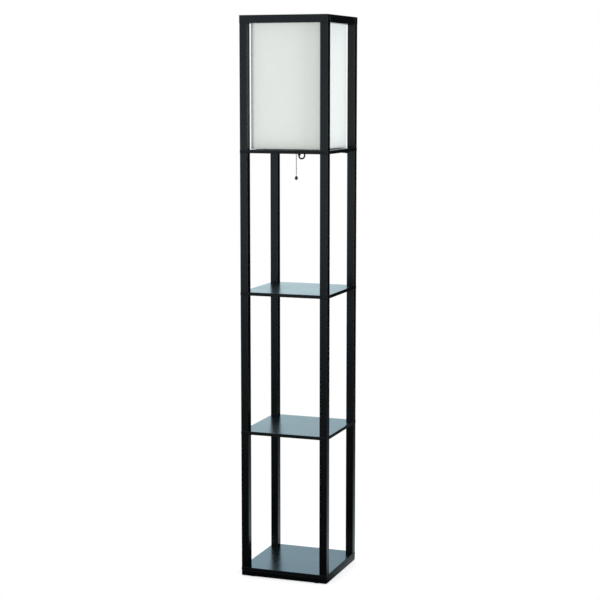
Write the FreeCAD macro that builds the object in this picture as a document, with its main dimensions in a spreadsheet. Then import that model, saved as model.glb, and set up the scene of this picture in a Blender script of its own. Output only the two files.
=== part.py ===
"""A slim wooden floor lamp: four square posts, three open shelf bays and a fabric box shade on top.

Millimetres. The origin is on the floor under the middle of the base, +Z is up, -Y is the front
(the side of the pull chain) and +X is the right. The posts are made in four lengths each, and
the shelves are gripped between the lengths by hidden studs that run into threaded inserts.
"""
import FreeCAD, Part
import math
import os

import Sketcher
from FreeCAD import Placement, Rotation, Vector

doc = FreeCAD.newDocument("shelf_floor_lamp")
sheet = doc.addObject("Spreadsheet::Sheet", "sizes")


# ---------------------------------------------------------------- driving sizes

SIZES = {
    # wooden frame
    "panel_width": 258,  # shelves, base panel and lamp panel are this square
    "panel_thick": 9.5,
    "post_side": 22,
    "post_setback": 0.4,  # the panels' edges stand out this far from the posts
    "glide_tall": 2,
    "glide_across": 16,
    "glide_inset": 33,  # from the panel's side edge to the glide's middle
    "base_rail_tall": 14.5,
    "bay_tall": 387.9,  # clear height of each open bay
    "shade_bay_tall": 346,
    "top_rail_tall": 22,
    "top_rail_deep": 22,
    "edge_round": 0.9,  # eased edges of all the wood
    # hidden fastenings
    "stud_across": 6,
    "stud_long": 30,
    "stud_hole_gap": 0.25,  # all round, where a stud passes through a panel
    "insert_across": 10,
    "insert_long": 12,
    "bore_spare": 0.5,  # a post is bored this much deeper than its insert
    "thread_gap": 0.05,  # all round, between a screw and what it is turned into
    "bolt_head_across": 11,
    "bolt_head_tall": 4,
    "head_recess_gap": 0.5,
    # box shade
    "shade_side_gap": 1.1,  # to the nearest post or top rail
    "shade_floor_gap": 2,
    "shade_lap": 9,  # how far the shade rises inside the top rails
    "shade_corner": 7,
    "fabric_thick": 0.8,
    "liner_thick": 0.6,
    "wire_across": 3,
    "wire_rise": 3,  # from the shade's edge to the middle of its wire
    "ring_wide": 4,  # the flat ring that drops over the lampholder
    "ring_tall": 1.5,
    "ring_gap": 0.2,
    "arm_across": 1.35,
    # lampholder, heights over the lamp panel
    "nipple_across": 9.6,
    "nipple_bore": 7,
    "nipple_drop": 4.5,  # below the lamp panel
    "nipple_top": 8,
    "nut_across": 16,
    "nut_tall": 3.5,
    "bushing_drop": 10.8,
    "bushing_across": 7.8,
    "bushing_bevel": 0.8,
    "bushing_plug_long": 6,
    "cap_tall": 15,
    "cap_foot_across": 26,
    "cap_rim_tall": 6,
    "cap_wall": 0.8,
    "cap_hub_across": 15,
    "cap_hub_tall": 5,
    "shell_top": 58,
    "shell_lap_gap": 0.5,
    "shell_wall": 0.5,
    "liner_wall": 0.5,
    "bead_reach": 1.9,
    "bead_tall": 1.2,
    "holder_foot": 9.6,
    "body_top": 36,
    "fit_gap": 0.1,
    "body_wall": 2.7,  # round the screw shell
    "screw_shell_wall": 0.3,
    "screw_shell_gap": 0.3,  # all round, between the screw shell and the bulb's cap
    "contact_across": 8,
    "contact_tall": 3,
    "moving_gap": 0.3,  # between pieces that move apart
    "bulb_tip_tall": 1,
    "bulb_tip_across": 8,
    "bulb_cap_across": 26.4,
    "bulb_cap_tall": 23.4,
    "bulb_cap_slope": 4,
    "bulb_neck_inset": 0.4,
    "bulb_across": 60,
    "bulb_glass_tall": 78,
    "bulb_wall": 1,
    # pull switch and its bead chain
    "chain_gap": 5.4,  # from the lampholder's cap to the chain's middle
    "drum_pitch": 5.093,  # a quarter turn winds the chain 8 mm
    "drum_height": 28,
    "drum_wide": 6,
    "drum_groove": 4,
    "journal_across": 2.4,
    "hood_wide": 13,
    "hood_tall": 16,
    "hood_reach": 3.5,  # in front of the chain
    "hood_bite": 1.9,  # into the lampholder's body
    "hood_wall": 1.2,
    "bead_across": 3.2,
    "bead_step": 4.1,
    "chain_wire": 0.9,
    "chain_beads": 15,  # below the swivel bead
    "swivel_drop": 4.5,  # the swivel bead's middle below the lamp panel
    "ferrule_across": 8,
    "ferrule_gap": 0.5,  # all round, between the beads and the ferrule's bore
    "ferrule_flange": 11,
    "ferrule_lip": 1,
    "knob_across": 10.2,
    "knob_tall": 12,
    # cord, its clips and its plug
    "cord_across": 4.5,
    "cord_gap": 0.1,
    "cord_floor_gap": 0.02,
    "loop_radius": 8.8,
    "edge_bend": 15.1,  # where the cord turns over the rear edge and onto the floor
    "drop_inset": 2,  # from the post's inner face to the cord's middle
    "coil_radius": 24.8,
    "coil_turn_gap": 0.2,
    "coil_layer_gap": 0.6,
    "coil_side": 26,  # from the lamp's middle plane to the coil's
    "tail_long": 24,
    "clip_ear": 3.7,
    "clip_wall": 1.15,
    "clip_tall": 8,
    "clip_round": 1,
    "plug_long": 27,
    "plug_wide": 24,
    "plug_tall": 14,
    "plug_tail_wide": 9,
    "plug_tail_tall": 8,
    "plug_coil_gap": 1.5,
    "blade_long": 17.5,
    "blade_tall": 6.35,
    "blade_thick": 1.5,
    "blade_step": 12.7,
}

for row, (alias, number) in enumerate(SIZES.items(), start=1):
    sheet.set("A%d" % row, alias)
    sheet.set("B%d" % row, str(number))
    sheet.setAlias("B%d" % row, alias)
doc.recompute()


class Size:
    """A length that is both a number and the sheet formula that it came from."""

    def __init__(self, number, formula):
        self.number = float(number)
        self.formula = formula

    def join(self, other, sign, number):
        other = as_size(other)
        return Size(number(self.number, other.number), "(%s %s %s)" % (self.formula, sign, other.formula))

    def __add__(self, other):
        return self.join(other, "+", lambda a, b: a + b)

    def __sub__(self, other):
        return self.join(other, "-", lambda a, b: a - b)

    def __mul__(self, other):
        return self.join(other, "*", lambda a, b: a * b)

    def __truediv__(self, other):
        return self.join(other, "/", lambda a, b: a / b)

    def __rsub__(self, other):
        return as_size(other) - self

    def __rmul__(self, other):
        return as_size(other) * self

    def __radd__(self, other):
        return as_size(other) + self

    def __neg__(self):
        return 0 - self


def as_size(value):
    return value if isinstance(value, Size) else Size(value, repr(float(value)))


def size(alias):
    return Size(sheet.get(alias), "sizes.%s" % alias)


def least(one, other):
    return Size(min(one.number, other.number), "min(%s; %s)" % (one.formula, other.formula))


def bind(feature, prop, value):
    """Drives one property of a feature from the sheet."""
    feature.setExpression(prop, as_size(value).formula)


def stand(feature, x=0, y=0, z=0):
    """Puts a feature at a place that follows the sheet."""
    values = [as_size(v) for v in (x, y, z)]
    feature.Placement = Placement(Vector(*[v.number for v in values]), feature.Placement.Rotation)
    for letter, value in zip("xyz", values):
        bind(feature, "Placement.Base." + letter, value)


# ---------------------------------------------------------------- sizes that several pieces share

width = size("panel_width")
thick = size("panel_thick")
side = size("post_side")
setback = size("post_setback")
post_middle = width / 2 - setback - side / 2
post_inner = width / 2 - setback - side
base_level = size("glide_tall") + size("base_rail_tall")
bay = size("bay_tall")
lower_level = base_level + thick + bay
upper_level = lower_level + thick + bay
lamp_level = upper_level + thick + bay
lamp_top = lamp_level + thick
rail_level = lamp_top + size("shade_bay_tall")
lamp_height = rail_level + size("top_rail_tall")
stud_reach = (size("stud_long") - thick) / 2
stud_hole = size("stud_across") + 2 * size("stud_hole_gap")
screw_bore = size("stud_across") + 2 * size("thread_gap")
screw_shell_bore = size("bulb_cap_across") + 2 * size("screw_shell_gap")
screw_shell_across = screw_shell_bore + 2 * size("screw_shell_wall")
body_across = screw_shell_across + 2 * size("body_wall")
liner_across = body_across + 2 * (size("liner_wall") + size("fit_gap"))
shell_across = liner_across + 2 * (size("shell_wall") + size("fit_gap"))
cap_across = shell_across + 2 * (size("cap_wall") + size("fit_gap"))
chain_reach = cap_across / 2 + size("chain_gap")
hood_back = body_across / 2 - size("hood_bite")
hood_front = chain_reach + size("hood_reach")
hood_foot = size("drum_height") - size("hood_tall") / 2
drum_reach = chain_reach - size("drum_pitch")
window_gap = 2 * size("fit_gap")
tip_foot = size("body_top") + size("contact_tall") + size("moving_gap")
bulb_foot = tip_foot + size("bulb_tip_tall") + size("moving_gap")
glass_foot = bulb_foot + size("bulb_cap_tall")
swivel_level = lamp_level - size("swivel_drop")
knob_top = swivel_level - size("bead_step") * size("chain_beads")
cord_half = size("cord_across") / 2
cord_offset = cord_half + size("cord_gap")
cord_hole = size("cord_across") + 2 * size("thread_gap")


# ---------------------------------------------------------------- helpers for solid features


def new_body(name):
    made = doc.addObject("PartDesign::Body", name)
    made.Label = name
    return made


def new_sketch(body, name, role="XY_Plane", height=0):
    """A sketch on one of its own body's planes, raised by height."""
    sketch = body.newObject("Sketcher::SketchObject", name)
    plane = next(f for f in body.Origin.OriginFeatures if f.Role == role)
    sketch.AttachmentSupport = (plane, [""])
    sketch.MapMode = "FlatFace"
    bind(sketch, "AttachmentOffset.Base.z", height)
    return sketch


def pin_point(sketch, geometry, point, x, y):
    """Holds a point of the sketch at sheet-driven distances from its origin."""
    for kind, axis, value in (("DistanceX", -2, as_size(x)), ("DistanceY", -1, as_size(y))):
        if value.number == 0:
            sketch.addConstraint(Sketcher.Constraint("PointOnObject", geometry, point, axis))
            continue
        index = sketch.addConstraint(Sketcher.Constraint(kind, -1, 1, geometry, point, value.number))
        bind(sketch, "Constraints[%d]" % index, value)


def outline(sketch, corners):
    """A closed outline of straight lines through the corners."""
    first = sketch.GeometryCount
    points = [Vector(as_size(x).number, as_size(y).number, 0) for x, y in corners]
    for start, end in zip(points, points[1:] + points[:1]):
        sketch.addGeometry(Part.LineSegment(start, end), False)
    for i in range(len(points)):
        following = first + (i + 1) % len(points)
        sketch.addConstraint(Sketcher.Constraint("Coincident", first + i, 2, following, 1))
    for i, (x, y) in enumerate(corners):
        pin_point(sketch, first + i, 1, x, y)


def rectangle(sketch, long, deep, x=0, y=0):
    outline(sketch, [(x + a * long / 2, y + b * deep / 2) for a, b in ((-1, -1), (1, -1), (1, 1), (-1, 1))])


def circle(sketch, across, x=0, y=0):
    across = as_size(across)
    middle = Vector(as_size(x).number, as_size(y).number, 0)
    index = sketch.addGeometry(Part.Circle(middle, Vector(0, 0, 1), across.number / 2), False)
    pin_point(sketch, index, 3, x, y)
    ring = sketch.addConstraint(Sketcher.Constraint("Diameter", index, across.number))
    bind(sketch, "Constraints[%d]" % ring, across)


def pad(body, sketch, length):
    made = body.newObject("PartDesign::Pad", sketch.Name + "_pad")
    made.Profile = sketch
    bind(made, "Length", length)
    return made


def pocket(body, sketch, depth, upwards=True):
    """Cuts the sketch into the body, and stops if nothing was cut."""
    doc.recompute()
    before = body.Shape.Volume
    made = body.newObject("PartDesign::Pocket", sketch.Name + "_pocket")
    made.Profile = sketch
    made.Reversed = upwards
    bind(made, "Length", depth)
    doc.recompute()
    if not body.Shape.Volume < before - 0.01:
        raise RuntimeError("%s: %s cuts nothing" % (body.Label, sketch.Name))
    return made


def ease(body, along=None):
    """Rounds the body's straight outer edges, or only those that run along one direction."""
    doc.recompute()
    feature = body.Tip
    names = []
    for i, edge in enumerate(feature.Shape.Edges, start=1):
        if edge.Curve.TypeId != "Part::GeomLine":
            continue
        direction = edge.tangentAt(edge.FirstParameter)
        if along is None or abs(direction.dot(along)) > 0.99:
            names.append("Edge%d" % i)
    made = body.newObject("PartDesign::Fillet", body.Name + "_easing")
    made.Base = (feature, names)
    bind(made, "Radius", size("edge_round"))
    return made


def turned(name, corners, z=0):
    """A body turned round the Z axis from an outline of (radius, height) corners."""
    body = new_body(name)
    sketch = new_sketch(body, name + "_section", "XZ_Plane")
    outline(sketch, corners)
    made = body.newObject("PartDesign::Revolution", name + "_turn")
    made.Profile = sketch
    made.ReferenceAxis = (sketch, ["V_Axis"])
    made.Angle = 360
    stand(body, 0, 0, z)
    return body


def tube(name, outer, bore, foot, head, z=0):
    return turned(name, [(bore / 2, foot), (outer / 2, foot), (outer / 2, head), (bore / 2, head)], z)


def box(name, long, deep, tall, x, y, z):
    """A block whose middle is at x, y and whose foot is at z."""
    made = doc.addObject("Part::Box", name)
    for prop, value in (("Length", long), ("Width", deep), ("Height", tall)):
        bind(made, prop, value)
    stand(made, x - long / 2, y - deep / 2, z)
    return made


def rod(name, across, tall, x, y, z):
    made = doc.addObject("Part::Cylinder", name)
    bind(made, "Radius", across / 2)
    bind(made, "Height", tall)
    stand(made, x, y, z)
    return made


def fuse(name, parts):
    made = doc.addObject("Part::MultiFuse", name)
    made.Shapes = parts
    return made


def cut(name, base, tools):
    tool = tools[0] if len(tools) == 1 else fuse(name + "_tools", tools)
    made = doc.addObject("Part::Cut", name)
    made.Base = base
    made.Tool = tool
    return made


def four_corners(name, parts):
    """The parts, which stand at the front left corner, and their images at the other three."""
    column = doc.addObject("Part::Compound", name + "_column")
    column.Links = parts
    mirrored = doc.addObject("Part::Mirroring", name + "_right")
    mirrored.Source = column
    mirrored.Normal = Vector(1, 0, 0)
    front = doc.addObject("Part::Compound", name + "_front")
    front.Links = [column, mirrored]
    rear = doc.addObject("Part::Mirroring", name + "_back")
    rear.Source = front
    rear.Normal = Vector(0, 1, 0)
    made = doc.addObject("Part::Compound", name)
    made.Links = [front, rear]
    return made


nodes = {}


def node(feature, name):
    """Files a finished feature under its name."""
    feature.Label = name
    nodes[name] = feature
    return feature


def free_shape(name, shape, place=Vector(0, 0, 0)):
    """A node whose shape is made directly, for forms that no sketch or primitive gives."""
    made = doc.addObject("Part::Feature", name)
    made.Shape = shape
    made.Placement = Placement(place, Rotation())
    return node(made, name)


# ---------------------------------------------------------------- wooden frame

CORNERS = {"front_left": (-1, -1), "front_right": (1, -1), "back_left": (-1, 1), "back_right": (1, 1)}


def corner_holes(body, name, across, depth):
    sketch = new_sketch(body, name)
    for a, b in CORNERS.values():
        circle(sketch, across, a * post_middle, b * post_middle)
    pocket(body, sketch, depth)


def panel(name, level):
    body = new_body(name)
    sketch = new_sketch(body, name + "_outline")
    rectangle(sketch, width, width)
    pad(body, sketch, thick)
    ease(body)
    corner_holes(body, name + "_stud_holes", stud_hole, thick)
    stand(body, 0, 0, level)
    return node(body, name)


def panel_hole(body, name, across, y=0):
    sketch = new_sketch(body, name)
    circle(sketch, across, 0, y)
    pocket(body, sketch, thick)


panel("base_panel", base_level)
panel("lower_shelf", lower_level)
panel("upper_shelf", upper_level)
lamp_panel = panel("lamp_panel", lamp_level)
panel_hole(lamp_panel, "nipple_hole", size("nipple_across") + 2 * size("fit_gap"))
panel_hole(lamp_panel, "ferrule_hole", size("ferrule_across") + 2 * size("thread_gap"), -chain_reach)


def post(name, a, b, level, tall):
    """One length of a corner post, bored at both ends for its threaded inserts."""
    body = new_body(name)
    sketch = new_sketch(body, name + "_outline")
    rectangle(sketch, side, side)
    pad(body, sketch, tall)
    ease(body, Vector(0, 0, 1))
    across = size("insert_across") + 2 * size("thread_gap")
    depth = size("insert_long") + size("bore_spare")
    foot = new_sketch(body, name + "_foot_bore")
    circle(foot, across)
    pocket(body, foot, depth)
    head = new_sketch(body, name + "_head_bore", height=tall)
    circle(head, across)
    pocket(body, head, depth, upwards=False)
    stand(body, a * post_middle, b * post_middle, level)
    return node(body, name)


POST_LEVELS = {
    "bottom": (base_level + thick, bay),
    "middle": (lower_level + thick, bay),
    "upper": (upper_level + thick, bay),
    "shade": (lamp_top, size("shade_bay_tall")),
}
for corner, (a, b) in CORNERS.items():
    for place, (level, tall) in POST_LEVELS.items():
        post("post_%s_%s" % (corner, place), a, b, level, tall)


def rail(name, long, deep, tall, x, y, level, bores=(), bore_y=0):
    """A rail; bores are (across, depth) from below at both ends, in line with the posts."""
    body = new_body(name)
    sketch = new_sketch(body, name + "_outline")
    rectangle(sketch, long, deep)
    pad(body, sketch, tall)
    ease(body)
    for i, (across, depth) in enumerate(bores):
        hole = new_sketch(body, "%s_bore_%d" % (name, i))
        for a in (-1, 1):
            circle(hole, across, a * post_middle, bore_y)
        pocket(body, hole, depth)
    stand(body, x, y, level)
    return node(body, name)


base_long = width - 2 * setback
recess_across = size("bolt_head_across") + 2 * size("head_recess_gap")
recess_deep = size("bolt_head_tall") + size("head_recess_gap")
bolt_bores = ((stud_hole, size("base_rail_tall")), (recess_across, recess_deep))
rail_deep = size("top_rail_deep")
rail_middle = width / 2 - rail_deep / 2
stud_bores = ((screw_bore, size("stud_long") - stud_reach + size("fit_gap")),)
for where, b in (("front", -1), ("back", 1)):
    rail("base_rail_" + where, base_long, side, size("base_rail_tall"), 0, b * post_middle,
         size("glide_tall"), bolt_bores)
    rail("top_rail_" + where, width, rail_deep, size("top_rail_tall"), 0, b * rail_middle,
         rail_level, stud_bores, b * (post_middle - rail_middle))
for where, a in (("left", -1), ("right", 1)):
    rail("base_rail_" + where, side, 2 * post_inner, size("base_rail_tall"), a * post_middle, 0,
         size("glide_tall"))
    rail("top_rail_" + where, rail_deep, width - 2 * rail_deep, size("top_rail_tall"),
         a * rail_middle, 0, rail_level)


# ---------------------------------------------------------------- hidden fastenings and glides


def corner_rod(name, across, tall, foot):
    """An upright rod on the axis of the front left post."""
    return rod(name, across, tall, -post_middle, -post_middle, foot)


def insert(name, foot):
    sleeve = corner_rod(name + "_sleeve", size("insert_across"), size("insert_long"), foot)
    thread = corner_rod(name + "_thread", screw_bore, size("insert_long"), foot)
    return cut(name, sleeve, [thread])


sleeves, studs = [], []
for place, (level, tall) in POST_LEVELS.items():
    head = level + tall
    sleeves.append(insert("insert_%s_foot" % place, level))
    sleeves.append(insert("insert_%s_head" % place, head - size("insert_long")))
    studs.append(corner_rod("stud_" + place, size("stud_across"), size("stud_long"), head - stud_reach))
node(four_corners("threaded_inserts", sleeves), "threaded_inserts")
node(four_corners("frame_studs", studs), "frame_studs")

head_level = size("glide_tall") + size("head_recess_gap")
shank_long = base_level + thick + stud_reach - head_level - size("bolt_head_tall")
bolt = fuse("base_bolt", [
    corner_rod("bolt_head", size("bolt_head_across"), size("bolt_head_tall"), head_level),
    corner_rod("bolt_shank", size("stud_across"), shank_long, head_level + size("bolt_head_tall")),
])
node(four_corners("base_bolts", [bolt]), "base_bolts")
glide_x = width / 2 - size("glide_inset")
glide = rod("glide", size("glide_across"), size("glide_tall"), -glide_x, -post_middle, 0)
node(four_corners("floor_glides", [glide]), "floor_glides")


# ---------------------------------------------------------------- box shade

shade_foot = lamp_top + size("shade_floor_gap")
shade_tall = size("shade_bay_tall") - size("shade_floor_gap") + size("shade_lap")
fabric_wide = 2 * (least(post_inner, width / 2 - rail_deep) - size("shade_side_gap"))
liner_wide = fabric_wide - 2 * (size("fabric_thick") + size("thread_gap"))
wire_wide = liner_wide - 2 * (size("liner_thick") + size("fit_gap")) - size("wire_across")


def rounded_square(sketch, wide, corner):
    """A centred square outline with round corners, held by its straight sides and its arcs."""
    half, bend = (wide / 2).number, corner.number
    reach = half - bend
    for i in range(4):
        turn = Rotation(Vector(0, 0, 1), 90 * i)
        start, end = (turn.multVec(Vector(x, -half, 0)) for x in (-reach, reach))
        sketch.addGeometry(Part.LineSegment(start, end), False)
        middle = turn.multVec(Vector(reach, -reach, 0))
        whole = Part.Circle(middle, Vector(0, 0, 1), bend)
        angle = math.radians(90 * i)
        sketch.addGeometry(Part.ArcOfCircle(whole, angle - math.pi / 2, angle), False)
    for i in range(4):
        line, arc, following = 2 * i, 2 * i + 1, (2 * i + 2) % 8
        sketch.addConstraint(Sketcher.Constraint("Tangent", line, 2, arc, 1))
        sketch.addConstraint(Sketcher.Constraint("Tangent", arc, 2, following, 1))
        sketch.addConstraint(Sketcher.Constraint("Horizontal" if i % 2 == 0 else "Vertical", line))
        if i:
            sketch.addConstraint(Sketcher.Constraint("Equal", 1, arc))
    for kind, index, value in (("DistanceX", 2, wide / 2), ("DistanceY", 0, -(wide / 2)),
                               ("DistanceY", 4, wide / 2), ("DistanceX", 6, -(wide / 2))):
        side_place = sketch.addConstraint(Sketcher.Constraint(kind, -1, 1, index, 1, value.number))
        bind(sketch, "Constraints[%d]" % side_place, value)
    radius = sketch.addConstraint(Sketcher.Constraint("Radius", 1, bend))
    bind(sketch, "Constraints[%d]" % radius, corner)


def box_skin(name, wide, wall, corner):
    """A square tube with rounded upright corners."""
    body = new_body(name)
    sketch = new_sketch(body, name + "_outline")
    rounded_square(sketch, wide, corner)
    pad(body, sketch, shade_tall)
    hollow = new_sketch(body, name + "_hollow")
    rounded_square(hollow, wide - 2 * wall, corner - wall)
    pocket(body, hollow, shade_tall)
    stand(body, 0, 0, shade_foot)
    return node(body, name)


fabric_corner = size("shade_corner")
liner_corner = fabric_corner - size("fabric_thick") - size("thread_gap")
wire_corner = liner_corner - size("liner_thick") - size("fit_gap") - size("wire_across") / 2
box_skin("shade_fabric", fabric_wide, size("fabric_thick"), fabric_corner)
box_skin("shade_liner", liner_wide, size("liner_thick"), liner_corner)


def square_path(half, bend, z):
    """A closed square path with round corners, as edges."""
    edges = []
    reach = half - bend
    for i in range(4):
        turn = Rotation(Vector(0, 0, 1), 90 * i)
        points = [Vector(-reach, -half, z), Vector(reach, -half, z)]
        slant = bend * math.sqrt(0.5)
        points += [Vector(reach + slant, -reach - slant, z), Vector(half, -reach, z)]
        a, b, c, d = (turn.multVec(p) for p in points)
        edges += [Part.LineSegment(a, b).toShape(), Part.Arc(b, c, d).toShape()]
    return edges


def wire_square(z):
    edges = square_path(wire_wide.number / 2, wire_corner.number, z)
    start = edges[0].Vertexes[0].Point
    ring = Part.Circle(start, Vector(1, 0, 0), size("wire_across").number / 2)
    return Part.Wire(edges).makePipeShell([Part.Wire([ring.toShape()])], True, False)


def shade_frame():
    """The top wire, and the bottom wire with the arms and the ring that drop over the lampholder."""
    low = (shade_foot + size("wire_rise")).number
    high = (shade_foot + shade_tall - size("wire_rise")).number
    seat = (lamp_top + size("cap_tall") + size("bead_tall")).number
    bore = (shell_across / 2 + size("ring_gap")).number
    ring_wide, ring_tall, arm_across = (size(n).number for n in ("ring_wide", "ring_tall", "arm_across"))
    ring = Part.makeCylinder(bore + ring_wide, ring_tall, Vector(0, 0, seat))
    ring = ring.cut(Part.makeCylinder(bore, ring_tall, Vector(0, 0, seat)))
    half, bend = wire_wide.number / 2, wire_corner.number
    corner = (half - bend) * math.sqrt(2) + bend
    spider = wire_square(low).fuse(ring)
    for i in range(4):
        out = Rotation(Vector(0, 0, 1), 45 + 90 * i).multVec(Vector(1, 0, 0))
        start = out * (bore + ring_wide / 2) + Vector(0, 0, seat + ring_tall / 2)
        end = out * corner + Vector(0, 0, low)
        arm = end - start
        spider = spider.fuse(Part.makeCylinder(arm_across / 2, arm.Length, start, arm))
    return Part.makeCompound([spider.Solids[0], wire_square(high).Solids[0]])


free_shape("shade_frame", shade_frame())


# ---------------------------------------------------------------- lampholder

nipple_across = size("nipple_across")
nipple_bore = size("nipple_bore")
node(tube("threaded_nipple", nipple_across, nipple_bore, -thick - size("nipple_drop"), size("nipple_top"),
          lamp_top), "threaded_nipple")


def nut():
    body = new_body("nipple_nut")
    sketch = new_sketch(body, "nut_outline")
    flat = size("nut_across") / 2
    corner = flat / math.cos(math.pi / 6)
    angles = [math.radians(60 * i) for i in range(6)]
    outline(sketch, [(corner * round(math.cos(t), 9), corner * round(math.sin(t), 9)) for t in angles])
    pad(body, sketch, size("nut_tall"))
    thread = new_sketch(body, "nut_thread")
    circle(thread, nipple_across + 2 * size("thread_gap"))
    pocket(body, thread, size("nut_tall"))
    stand(body, 0, 0, lamp_level - size("nut_tall"))
    return node(body, "nipple_nut")


nut()
bushing_plug = nipple_bore - 2 * size("thread_gap")
bushing_foot = -size("bushing_drop")
nipple_end = -size("nipple_drop")
node(turned("cord_bushing", [
    (cord_hole / 2, bushing_foot),
    (size("bushing_across") / 2 - size("bushing_bevel"), bushing_foot),
    (size("bushing_across") / 2, bushing_foot + size("bushing_bevel")),
    (size("bushing_across") / 2, nipple_end),
    (bushing_plug / 2, nipple_end),
    (bushing_plug / 2, nipple_end + size("bushing_plug_long")),
    (cord_hole / 2, nipple_end + size("bushing_plug_long")),
], lamp_level), "cord_bushing")

cap_half = cap_across / 2
cap_inner = cap_half - size("cap_wall")
foot_half = size("cap_foot_across") / 2
cap_shoulder = size("cap_tall") - size("cap_rim_tall")
hub_bore = nipple_across / 2 + size("thread_gap")
node(turned("socket_cap", [
    (hub_bore, 0),
    (foot_half, 0),
    (cap_half, cap_shoulder),
    (cap_half, size("cap_tall")),
    (cap_inner, size("cap_tall")),
    (cap_inner, cap_shoulder + size("cap_wall") / 2),
    (foot_half - size("cap_wall") / 2, size("cap_wall")),
    (size("cap_hub_across") / 2, size("cap_wall")),
    (size("cap_hub_across") / 2, size("cap_hub_tall")),
    (hub_bore, size("cap_hub_tall")),
], lamp_top), "socket_cap")


def front_window(body, name, reach):
    """Opens the front of a turned piece where the switch hood passes through it."""
    sketch = new_sketch(body, name, height=hood_foot - window_gap)
    front = -2 * chain_reach
    half = size("hood_wide") / 2 + window_gap
    outline(sketch, [(-half, front), (half, front), (half, -reach), (-half, -reach)])
    pocket(body, sketch, size("hood_tall") + 2 * window_gap)


shell_half = shell_across / 2
bead_half = shell_half + size("bead_reach")
cap_rim = size("cap_tall")
shell_inner = shell_half - size("shell_wall")
shell_foot = cap_shoulder + size("shell_lap_gap")
shell = turned("socket_shell", [
    (shell_inner, shell_foot),
    (shell_half, shell_foot),
    (shell_half, cap_rim),
    (bead_half, cap_rim),
    (bead_half, cap_rim + size("bead_tall")),
    (shell_half, cap_rim + size("bead_tall")),
    (shell_half, size("shell_top")),
    (shell_inner, size("shell_top")),
], lamp_top)
front_window(shell, "shell_window", hood_back - window_gap)
node(shell, "socket_shell")
liner = tube("socket_liner", liner_across, liner_across - 2 * size("liner_wall"),
             shell_foot + size("shell_lap_gap"), size("shell_top") - size("shell_lap_gap"), lamp_top)
front_window(liner, "liner_window", hood_back - window_gap)
node(liner, "socket_liner")
switch_body = turned("socket_body", [
    (0, size("holder_foot")),
    (body_across / 2, size("holder_foot")),
    (body_across / 2, size("body_top")),
    (0, size("body_top")),
], lamp_top)
front_window(switch_body, "drum_pocket", drum_reach - size("drum_pitch") - size("moving_gap"))
node(switch_body, "socket_body")

node(tube("screw_shell", screw_shell_across, screw_shell_bore, size("body_top"), size("shell_top"), lamp_top),
     "screw_shell")
node(rod("centre_contact", size("contact_across"), size("contact_tall"), 0, 0, lamp_top + size("body_top")),
     "centre_contact")


# ---------------------------------------------------------------- bulb

node(rod("bulb_tip", size("bulb_tip_across"), size("bulb_tip_tall"), 0, 0, lamp_top + tip_foot), "bulb_tip")
bulb_half = size("bulb_cap_across") / 2
node(turned("bulb_cap", [
    (0, bulb_foot),
    (size("bulb_tip_across") / 2, bulb_foot),
    (bulb_half, bulb_foot + size("bulb_cap_slope")),
    (bulb_half, glass_foot),
    (0, glass_foot),
], lamp_top), "bulb_cap")


BULB_WAIST = math.radians(-38)  # below the ball's middle, where the ball turns into the neck
NECK_BOW = 2.2  # how far the middle of the neck stands out from its foot
NECK_BOW_AT = 0.34  # of the height of the ball's centre


def bulb_glass():
    """A pear-shaped glass shell: a ball that runs down into a neck."""
    ball = size("bulb_across").number / 2
    wall = size("bulb_wall").number
    neck = (bulb_half - size("bulb_neck_inset")).number
    tall = size("bulb_glass_tall").number
    centre = tall - ball

    def profile(inset, foot):
        """The neck's arc and the ball's, from the foot to the crown."""
        round_half = ball - inset
        start = Vector(neck - inset, 0, foot)
        bow = Vector(neck - inset + NECK_BOW, 0, centre * NECK_BOW_AT)
        join = Vector(round_half * math.cos(BULB_WAIST), 0, centre + round_half * math.sin(BULB_WAIST))
        widest = Vector(round_half, 0, centre)
        crown = Vector(0, 0, tall - inset)
        return [Part.Arc(start, bow, join).toShape(), Part.Arc(join, widest, crown).toShape()]

    foot, floor = Vector(0, 0, 0), Vector(0, 0, wall)
    edges = profile(0, 0) + profile(wall, wall)
    for start, end in ((Vector(0, 0, tall), Vector(0, 0, tall - wall)), (Vector(neck - wall, 0, wall), floor),
                       (floor, foot), (foot, Vector(neck, 0, 0))):
        edges.append(Part.LineSegment(start, end).toShape())
    face = Part.Face(Part.Wire(Part.__sortEdges__(edges)))
    return face.revolve(foot, Vector(0, 0, 1), 360)


free_shape("bulb_glass", bulb_glass(), Vector(0, 0, (lamp_top + glass_foot).number))


# ---------------------------------------------------------------- pull switch and chain

chain_y = -chain_reach
TOOL_SPARE = 1  # how far a cutting tool stands past what it cuts


drum_z = lamp_top + size("drum_height")


def lying_rod(name, across, long):
    """A rod along X on the drum's axis."""
    made = doc.addObject("Part::Cylinder", name)
    made.Placement = Placement(Vector(), Rotation(Vector(0, 1, 0), 90))
    bind(made, "Radius", across / 2)
    bind(made, "Height", long)
    stand(made, -(long / 2), -drum_reach, drum_z)
    return made


hood_deep = hood_front - hood_back
hood_block = box("hood_block", size("hood_wide"), hood_deep, size("hood_tall"),
                 0, -(hood_back + hood_deep / 2), lamp_top + hood_foot)
hood_room = size("hood_wide") - 2 * size("hood_wall")
hood_hollow = box("hood_hollow", hood_room, hood_deep, size("hood_tall") - size("hood_wall"),
                  0, -(hood_back + hood_deep / 2 - size("hood_wall")), lamp_top + hood_foot)
journal_bore = size("journal_across") + 2 * size("thread_gap")
hood_bores = lying_rod("hood_bores", journal_bore, size("hood_wide") + 2 * TOOL_SPARE)
node(cut("chain_guide", hood_block, [hood_hollow, hood_bores]), "chain_guide")

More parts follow.
